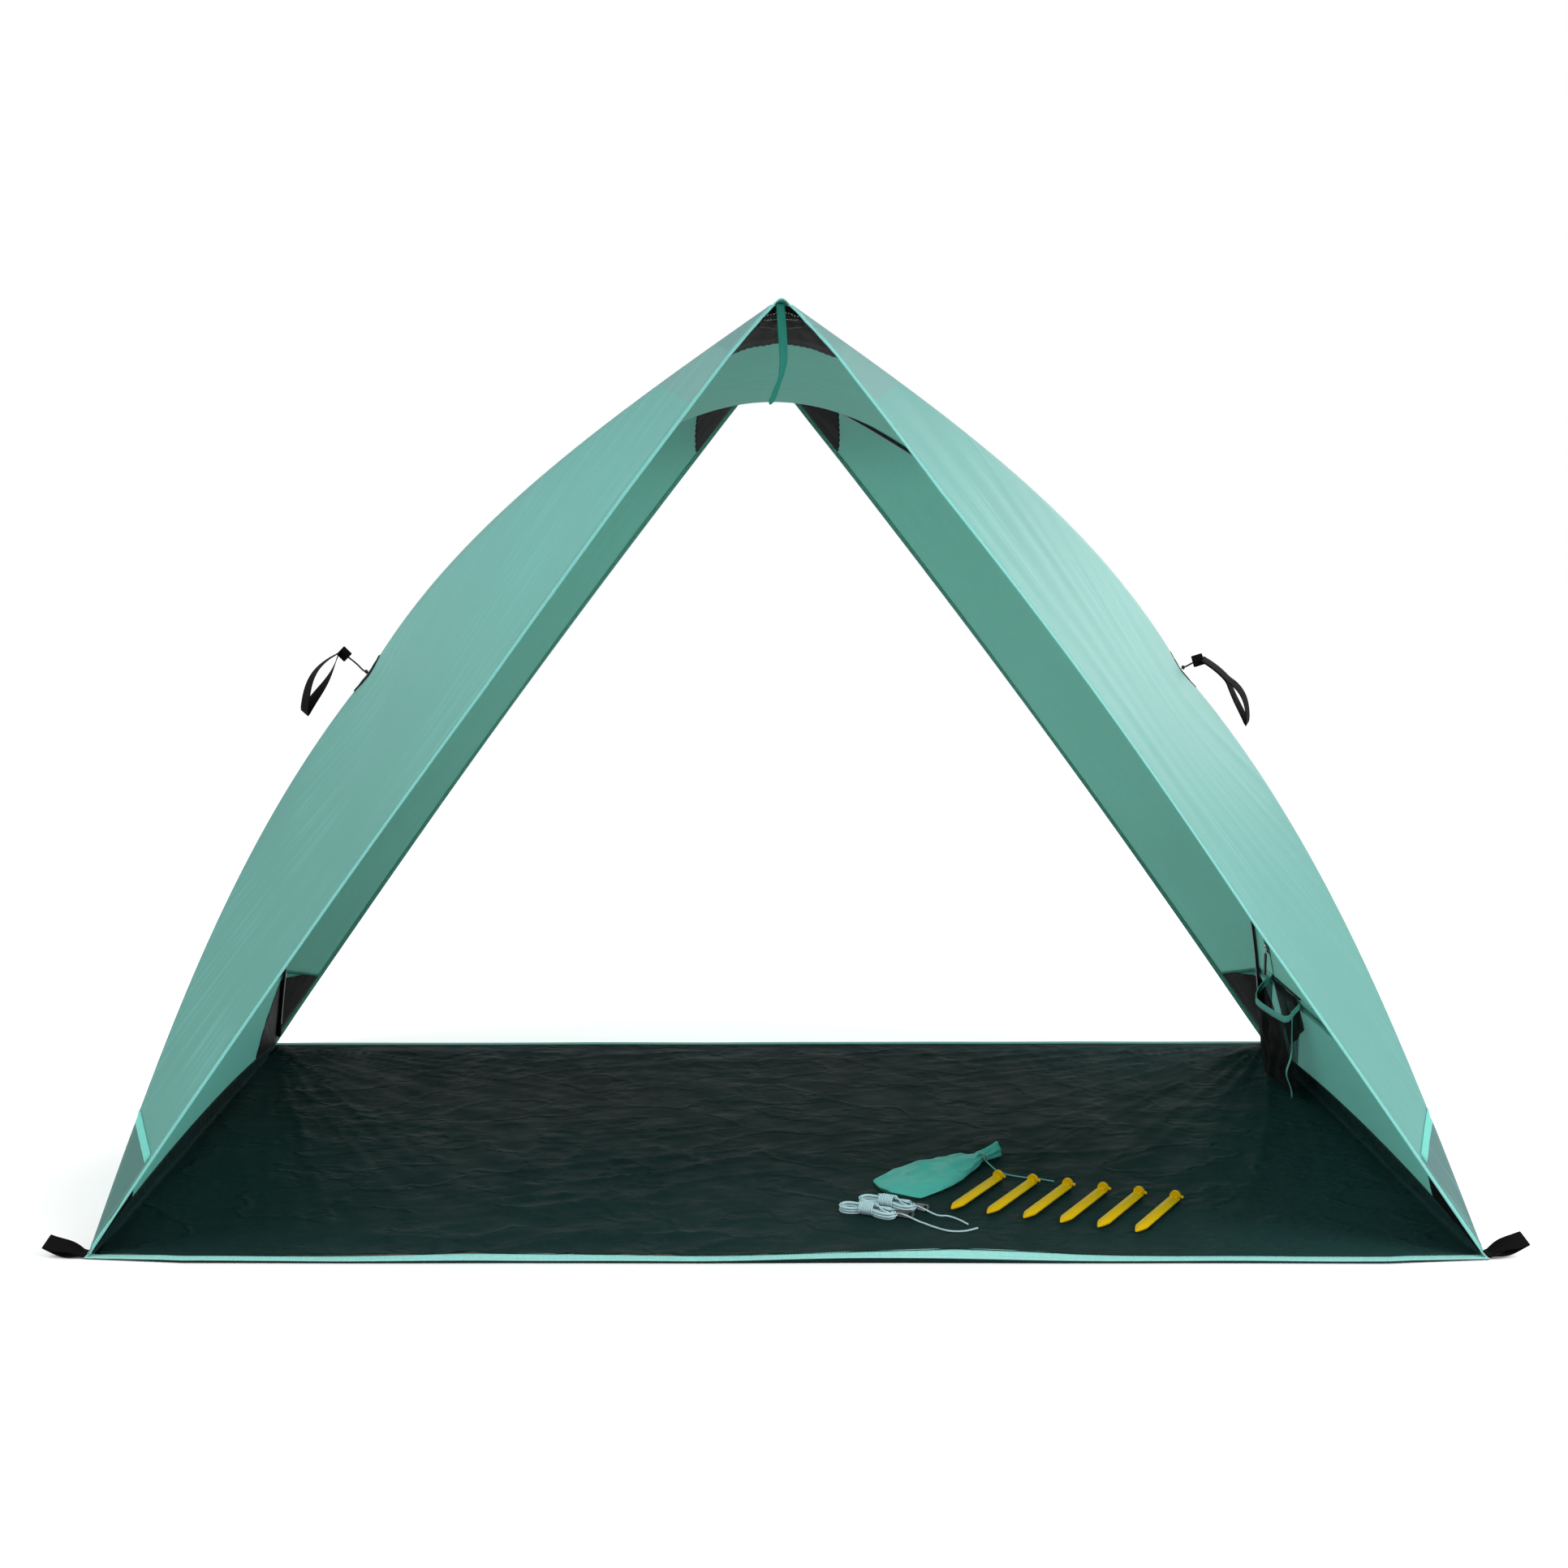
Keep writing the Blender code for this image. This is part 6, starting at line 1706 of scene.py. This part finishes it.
def model_peg():
    """One peg along X from its point: a ridged blade over a web, shoulders, a round head and an ear."""
    neck = PEG_LENGTH - 0.008
    bpy.ops.mesh.primitive_cube_add(size=1, location=(neck / 2, 0, PEG_LEVEL))
    blade = bpy.context.object
    bpy.ops.object.transform_apply(location=True, rotation=False, scale=False)
    blade.data.uv_layers[0].name = CLOTH_MAP
    bpy.ops.object.mode_set(mode="EDIT")
    bpy.ops.transform.resize(value=(neck, PEG_WIDTH, PEG_BLADE), center_override=(neck / 2, 0, PEG_LEVEL))
    for along in PEG_CUTS_ALONG:
        cut_across((along, 0, 0), (1, 0, 0))
    for across in PEG_CUTS_ACROSS:
        cut_across((0, across, 0), (0, 1, 0))
    choose("verts", lambda v: abs(v.co.y) < 0.0001)
    bpy.ops.transform.translate(value=(0, 0, 0.0036))
    choose("verts", lambda v: 0.0001 < abs(v.co.y) < 0.002)
    bpy.ops.transform.translate(value=(0, 0, 0.0027))
    choose("verts", lambda v: 0.004 < abs(v.co.y) < 0.006)
    bpy.ops.transform.translate(value=(0, 0, 0.0010))
    choose("faces", lambda f: f.normal.z < -0.5 and abs(f.calc_center_median().y) < 0.0014
           and f.calc_center_median().x > 0.014)
    bpy.ops.mesh.extrude_region_move(TRANSFORM_OT_translate={"value": (0, 0, -0.0056)})
    choose("verts", lambda v: v.co.x < 0.001)
    bpy.ops.transform.resize(value=(1, 0.06, 0.5), center_override=(0, 0, 0.0060))
    choose("verts", lambda v: 0.001 < v.co.x < 0.004)
    bpy.ops.transform.resize(value=(1, 0.22, 0.8), center_override=(0, 0, PEG_LEVEL))
    choose("verts", lambda v: 0.013 < v.co.x < 0.015 and v.co.z > 0.004)
    bpy.ops.transform.resize(value=(1, 0.66, 1), center_override=(0, 0, PEG_LEVEL))
    bpy.ops.object.mode_set(mode="OBJECT")
    apply_modifier(blade, "BEVEL", width=0.0005, segments=2, limit_method="ANGLE")
    bpy.ops.mesh.primitive_cylinder_add(vertices=36, radius=PEG_HEAD_RADIUS, depth=PEG_HEAD_DEPTH,
                                        location=(PEG_HEAD_PLACE, 0, PEG_HEAD_RADIUS),
                                        rotation=(0, math.pi / 2, 0))
    head = bpy.context.object
    bpy.ops.object.transform_apply(location=True, rotation=True, scale=False)
    bpy.ops.object.mode_set(mode="EDIT")
    choose("faces", lambda f: abs(f.normal.x) > 0.9)
    bpy.ops.mesh.inset(thickness=0.0022)
    bpy.ops.transform.resize(value=(0.72, 1, 1), center_override=(PEG_HEAD_PLACE, 0, 0))
    bpy.ops.object.mode_set(mode="OBJECT")
    apply_modifier(head, "BEVEL", width=0.0009, segments=3, limit_method="ANGLE")
    collar = box_piece("collar", (0.006, 0.0125, 0.0085), PEG_PLASTIC, 0.0010,
                       Matrix.Translation((neck - 0.002, 0, 0.0064)))
    ear = box_piece("ear", (0.0042, 0.0060, 0.0042), PEG_PLASTIC, 0.0009,
                    Matrix.Translation((PEG_LENGTH - 0.0030, -PEG_HEAD_RADIUS - 0.0015, PEG_HEAD_RADIUS)))
    for part in (blade, head):
        part.data.materials.clear()
        part.data.materials.append(PEG_PLASTIC)
        shade_round(part)
    return joined([blade, head, collar, ear], "peg_pattern")


def add_pegs():
    pattern = model_peg()
    lie = Matrix.Rotation(PEG_YAW, 4, "Z")
    for index in range(PEG_COUNT):
        tip = FIRST_PEG_TIP + PEG_STEP * index + Vector((0, 0, SHEET_TOP))
        name = f"peg_{index + 1}"
        mesh = pattern.data.copy()
        mesh.transform(Matrix.Translation(tip) @ lie)
        settle(new_object(name + "_moulded", mesh), name + "_body", (name,))
    bpy.data.objects.remove(pattern, do_unlink=True)


# Pouch


POUCH_SHARES = (0.0, 0.03, 0.10, 0.22, 0.37, 0.52, 0.65, 0.77, 0.87, 0.95, 1.0)
POUCH_WIDTHS = (0.93, 0.97, 0.99, 1.0, 0.97, 0.86, 0.68, 0.52, 0.36, 0.20, 0.125)
POUCH_HEIGHTS = (0.14, 0.20, 0.29, 0.38, 0.47, 0.53, 0.55, 0.54, 0.51, 0.48, 0.46)
MOUTH_LENGTH = 0.042
MOUTH_HALF = 0.0155
POUCH_COLUMNS = 64
POUCH_ROWS = 86


def add_pouch():
    """The peg bag: a flat base, a slack creased body, a neck drawn tight, and a mouth that flares past it."""
    base = POUCH_BASE + Vector((0, 0, SHEET_TOP))
    place = Matrix.Translation(base) @ Matrix.Rotation(POUCH_YAW, 4, "Z")
    bag_length = POUCH_LENGTH + MOUTH_LENGTH
    points = np.zeros((POUCH_ROWS, POUCH_COLUMNS, 3))
    uvs = np.zeros((POUCH_ROWS, POUCH_COLUMNS, 2))
    for row in range(POUCH_ROWS):
        along = bag_length * row / (POUCH_ROWS - 1)
        share = along / POUCH_LENGTH
        if share <= 1:
            half = np.interp(share, POUCH_SHARES, POUCH_WIDTHS) * POUCH_WIDTH / 2
            height = np.interp(share, POUCH_SHARES, POUCH_HEIGHTS) * POUCH_HEIGHT
            pleat = max(0.0, (share - 0.72) / 0.28)
        else:
            past = (along - POUCH_LENGTH) / MOUTH_LENGTH
            half = POUCH_NECK / 2 + (MOUTH_HALF - POUCH_NECK / 2) * past ** 0.8
            height = POUCH_NECK * (1 + 0.30 * past)
            pleat = 1 - 0.75 * past
        for column in range(POUCH_COLUMNS):
            angle = math.tau * column / POUCH_COLUMNS
            sine = math.sin(angle)
            wide = math.copysign(abs(math.cos(angle)) ** 0.85, math.cos(angle))
            z = height * (0.35 + 0.65 * sine) if sine > 0 else height * 0.35 * (1 + sine)
            y = half * wide
            crease = noise_at(share * 5.0, y * 45.0, 3.0 + 0.4 * sine)
            fold = max(0.0, 1 - 4 * abs(noise_at(share * 3.0 + y * 16.0, y * 30.0 - share * 2.0, 8.0)))
            z += max(0.0, sine) * (height * (0.30 * crease + 0.30 * fold) + 0.0022 * fold) * (1 - pleat * 0.5)
            gather = 1 + 0.22 * pleat * math.sin(angle * 9 + share * 3)
            lift = 0.0015 * pleat
            belly = 0.022 * (1 - wide * wide) * max(0.0, 1 - share / 0.30)
            z = max(0.0, z * (0.85 + 0.15 * gather) + lift)
            points[row, column] = place @ Vector((along - belly, y * gather, z))
            uvs[row, column] = (along, column / POUCH_COLUMNS * 0.24)
    faces = grid_faces(POUCH_ROWS, POUCH_COLUMNS, closed=True)
    faces += [tuple(range(POUCH_COLUMNS))]
    piece = mesh_piece("peg_pouch_bag", points.reshape(-1, 3), faces, uvs.reshape(-1, 2), [POUCH_CLOTH])
    turn_outwards(piece)
    apply_modifier(piece, "SOLIDIFY", thickness=0.0007, offset=-1.0)
    settle(piece, "peg_pouch_body", ("peg_pouch",))
    add_drawcord(place)


DRAWCORD_PLACES = ((0.3920, -0.2120), (0.4080, -0.2310), (0.4340, -0.2440), (0.4610, -0.2530),
                   (0.4830, -0.2640))
NECK_TURNS = 3
TURN_STEPS = 24


def add_drawcord(place):
    """The drawcord: three turns round the neck, a knot, and the free end across the sheet."""
    neck_height = POUCH_NECK * 0.5
    turns = []
    for index in range(NECK_TURNS * TURN_STEPS + 1):
        turn = math.tau * index / TURN_STEPS - math.pi / 2
        along = POUCH_LENGTH + 0.0028 * index / (NECK_TURNS * TURN_STEPS) * 2 - 0.002
        turns.append(place @ Vector((along, 0.0098 * math.cos(turn),
                                     neck_height + 0.0092 * math.sin(turn) + 0.0012)))
    ring = tube_piece("drawcord_turns", turns, DRAWCORD_RADIUS, 10, DRAWCORD_FINISH)
    settle(ring, "peg_pouch_body")
    add_knot("drawcord_knot", place @ Vector((POUCH_LENGTH + 0.002, -0.0118, neck_height + 0.0040)), 0.0100,
             "peg_pouch_body", DRAWCORD_FINISH)
    rest = SHEET_TOP + DRAWCORD_RADIUS
    away = Matrix.Rotation(POUCH_YAW, 3, "Z") @ Vector((0, -1, 0))
    neck = place @ Vector((POUCH_LENGTH, -POUCH_NECK / 2, POUCH_NECK / 3))
    start = neck + away * (DRAWCORD_RADIUS + GAP)
    route = [start, start + away * 3 * DRAWCORD_RADIUS, Vector((0.3840, -0.1920, rest + DRAWCORD_RADIUS))]
    route += [Vector((x, y, rest)) for x, y in DRAWCORD_PLACES]
    path = smooth_route(route, CORD_STEP)
    cord = tube_piece("pouch_drawcord", path, DRAWCORD_RADIUS, 12, DRAWCORD_FINISH)
    settle(cord, "peg_pouch_body", ("pouch_drawcord",))


# Guy lines


HANK_RUN = 0.034
HANK_TURNS = 6
HANK_STEPS = 56
WRAPS = 8
WRAP_STEPS = 24
WRAP_PITCH = 0.0031
WRAP_REACH = (0.0130, 0.0096)
GUY_STEP = 0.0022
PLATE_LEAN = math.radians(52)
PLATE_YAW = {"a": math.radians(-30), "b": math.radians(-14)}


def hank_path():
    """The line of a hank along X: turns laid in three layers, then wraps drawn tight round its waist."""
    points = []
    for index in range(HANK_TURNS * HANK_STEPS + 1):
        turn = index / HANK_STEPS
        radius = 0.0085 + 0.0040 * abs((turn % 4) - 2)
        layer = min(2, int(turn / 2))
        step = (index % HANK_STEPS) / HANK_STEPS
        x, y = stadium(step, radius)
        gather = 1 - 0.50 * math.exp(-(x / 0.017) ** 2)
        splay = 0.0016 * math.sin(turn * 2.4)
        z = SHEET_TOP + GUY_RADIUS + 0.0040 * layer + 0.0026 * math.exp(-(x / 0.018) ** 2)
        points.append(Vector((x, y * gather + splay * (1 - gather), z)))
    centre_z = SHEET_TOP + GUY_RADIUS + 0.0084
    for index in range(WRAPS * WRAP_STEPS + 1):
        turn = math.tau * index / WRAP_STEPS + math.pi / 2
        x = -0.0115 + WRAP_PITCH * index / WRAP_STEPS
        y = WRAP_REACH[0] * math.cos(turn)
        z = centre_z + WRAP_REACH[1] * math.sin(turn)
        points.append(Vector((x, y, max(z, SHEET_TOP + GUY_RADIUS))))
    return points


def stadium(step, radius):
    """A point on a loop of two straight runs and two round bends, by its share of the way round."""
    quarter = step * 4
    if quarter < 1:
        return HANK_RUN * (1 - 2 * quarter), radius
    if quarter < 2:
        angle = math.pi / 2 + math.pi * (quarter - 1)
        return -HANK_RUN + radius * math.cos(angle), radius * math.sin(angle)
    if quarter < 3:
        return HANK_RUN * (2 * (quarter - 2) - 1), -radius
    angle = -math.pi / 2 + math.pi * (quarter - 3)
    return HANK_RUN + radius * math.cos(angle), radius * math.sin(angle)


def add_guy_line(word, centre, places):
    """One guy line: the hank, the plate that its tail runs through, and the tail to its cut end."""
    place = Matrix.Translation(centre) @ Matrix.Rotation(HANK_YAW, 4, "Z")
    low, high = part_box("guy_tensioner_" + word)
    hole = (low + high) / 2
    hole.z = SHEET_TOP + 0.0072
    wound = hank_path()
    last = wound[-1]
    run_out = [last + Vector((0.006, -0.003, -0.001)), Vector((0.026, last.y * 0.5, SHEET_TOP + 0.0105)),
               Vector((0.040, 0.0, SHEET_TOP + 0.0070))]
    local = wound + run_out
    level = SHEET_TOP + GUY_RADIUS
    tail = [Vector((x, y, level)) for x, y in places]
    start = [place @ point for point in local]
    path = smooth_route(start[:len(wound)], GUY_STEP)
    path += smooth_route(start[len(wound):] + [hole, *tail], GUY_STEP)
    for point in path:
        point.z = max(point.z, level)
    cord = tube_piece("guy_line_" + word, path, GUY_RADIUS, 10, GUY_CORD)
    body = "guy_line_" + word
    settle(cord, body, ("guy_hank_" + word, "guy_tail_" + word))
    add_tensioner(word)


def tilt_plate(plate, yaw):
    """Turns a flat plate so that it points along the ground at an angle, and leans with its face forward."""
    places = np.array([vertex.co[:] for vertex in plate.data.vertices])
    centre = Vector(places.mean(axis=0))
    spread = np.linalg.svd(places - places.mean(axis=0))[2]
    long_way, facing = Vector(spread[0]), Vector(spread[2])
    long_way = long_way if long_way.y < 0 else -long_way
    facing = facing if facing.z > 0 else -facing
    new_long = Vector((math.cos(yaw), math.sin(yaw), 0))
    sideways = new_long.cross(Vector((0, 0, 1)))
    new_facing = Vector((0, 0, math.cos(PLATE_LEAN))) + sideways * math.sin(PLATE_LEAN)
    before = frame_at(Vector(), long_way, facing.cross(long_way))
    after = frame_at(Vector(), new_long, new_facing.cross(new_long))
    plate.data.transform(Matrix.Translation(centre) @ after @ before.inverted() @ Matrix.Translation(-centre))
    lowest = min(vertex.co.z for vertex in plate.data.vertices)
    plate.data.transform(Matrix.Translation((0, 0, SHEET_TOP - lowest)))


def add_tensioner(word):
    """The drop-shaped plate with its two holes, rounded all over."""
    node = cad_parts["guy_tensioner_" + word]
    name = f"guy_tensioner_{word}_plate"
    plate = new_object(name, node.data.copy())
    take(plate)
    bpy.ops.object.mode_set(mode="EDIT")
    bpy.ops.mesh.select_all(action="SELECT")
    bpy.ops.mesh.remove_doubles(threshold=0.00001)
    bpy.ops.mesh.dissolve_limited(angle_limit=math.radians(4))
    bpy.ops.object.mode_set(mode="OBJECT")
    apply_modifier(plate, "BEVEL", width=0.0007, segments=2, limit_method="ANGLE")
    tilt_plate(plate, PLATE_YAW[word])
    plate.data.materials.clear()
    plate.data.materials.append(BLACK_PLASTIC)
    shade_round(plate)
    return settle(plate, "guy_line_" + word, ("guy_tensioner_" + word,))


add_guy_line("a", HANK_A_CENTRE, GUY_TAIL_A_PLACES)
add_guy_line("b", HANK_B_CENTRE, GUY_TAIL_B_PLACES)
add_tie_outs()
add_pouch()
add_canopy()
add_bindings()
add_seam_tapes()
add_poles()
add_patches()
add_peak_cap()
add_groundsheet()
add_hem("ground_hem_front", True)
add_hem("ground_hem_rear", False)
add_corner_loops()
add_apex_strap()
add_pocket()
add_zip()
add_pegs()


# Floor, world and lamps


# Where the floor's own glow fades near the tent, so that the tent's shadow shows
SHADE_FRONT = (-0.95, -0.62)
SHADE_REAR = (0.4, -0.3)
SHADE_SIDES = (1.7, 1.1)
FLOOR_GLOW = 0.43
SHADE_GLOW = 0.05
WORLD_LIGHT = 0.62


def seen_directly(w):
    """1 where a ray comes from the camera or off a glossy or clear face, 0 where it lights other things."""
    rays = w.add("ShaderNodeLightPath").outputs
    seen = w.math("MAXIMUM", rays["Is Camera Ray"], rays["Is Glossy Ray"])
    return w.math("MAXIMUM", seen, rays["Is Transmission Ray"])


def add_floor():
    bpy.ops.mesh.primitive_plane_add(size=60)
    floor = bpy.context.object
    floor.name = "floor"
    material, w, shader = new_material("floor_white", 0.9, 0.1)
    shader.inputs["Base Color"].default_value = (0.93, 0.93, 0.93, 1)
    shader.inputs["Emission Color"].default_value = (1, 1, 1, 1)
    place = w.split(w.on_object())
    close = w.math("MULTIPLY", w.spread(place[1], *SHADE_FRONT), w.spread(place[1], *SHADE_REAR))
    close = w.math("MULTIPLY", close, w.spread(w.math("ABSOLUTE", place[0]), *SHADE_SIDES))
    glow = w.math("MULTIPLY", seen_directly(w), w.spread(close, 0.0, 1.0, FLOOR_GLOW, SHADE_GLOW))
    w.put(shader.inputs["Emission Strength"], glow)
    floor.data.materials.append(material)


def add_world():
    world = bpy.data.worlds.new("studio")
    bpy.context.scene.world = world
    world.use_nodes = True
    w = Wiring(world.node_tree)
    background = world.node_tree.nodes["Background"]
    background.inputs["Color"].default_value = (1, 1, 1, 1)
    w.put(background.inputs["Strength"], w.spread(seen_directly(w), 0.0, 1.0, WORLD_LIGHT, 1.0))


def add_lamp(name, place, target, size, power):
    data = bpy.data.lights.new(name, "AREA")
    data.shape = "RECTANGLE"
    data.size, data.size_y = size
    data.energy = power
    lamp = new_object(name, data)
    lamp.location = place
    lamp.rotation_euler = (Vector(target) - Vector(place)).to_track_quat("-Z", "Y").to_euler()


add_floor()
add_world()
add_lamp("key_right", (3.6, -2.2, 3.0), (0.2, 0, 0.6), (2.4, 2.4), 150)
add_lamp("fill_left", (-3.0, -1.7, 3.1), (-0.3, 0, 1.0), (2.4, 2.4), 82)
add_lamp("rim_right", (3.0, 3.2, 2.2), (0.6, 0, 0.8), (1.8, 1.8), 60)
add_lamp("top", (0, -0.6, 4.2), (0, 0, 0.5), (3.0, 3.0), 12)
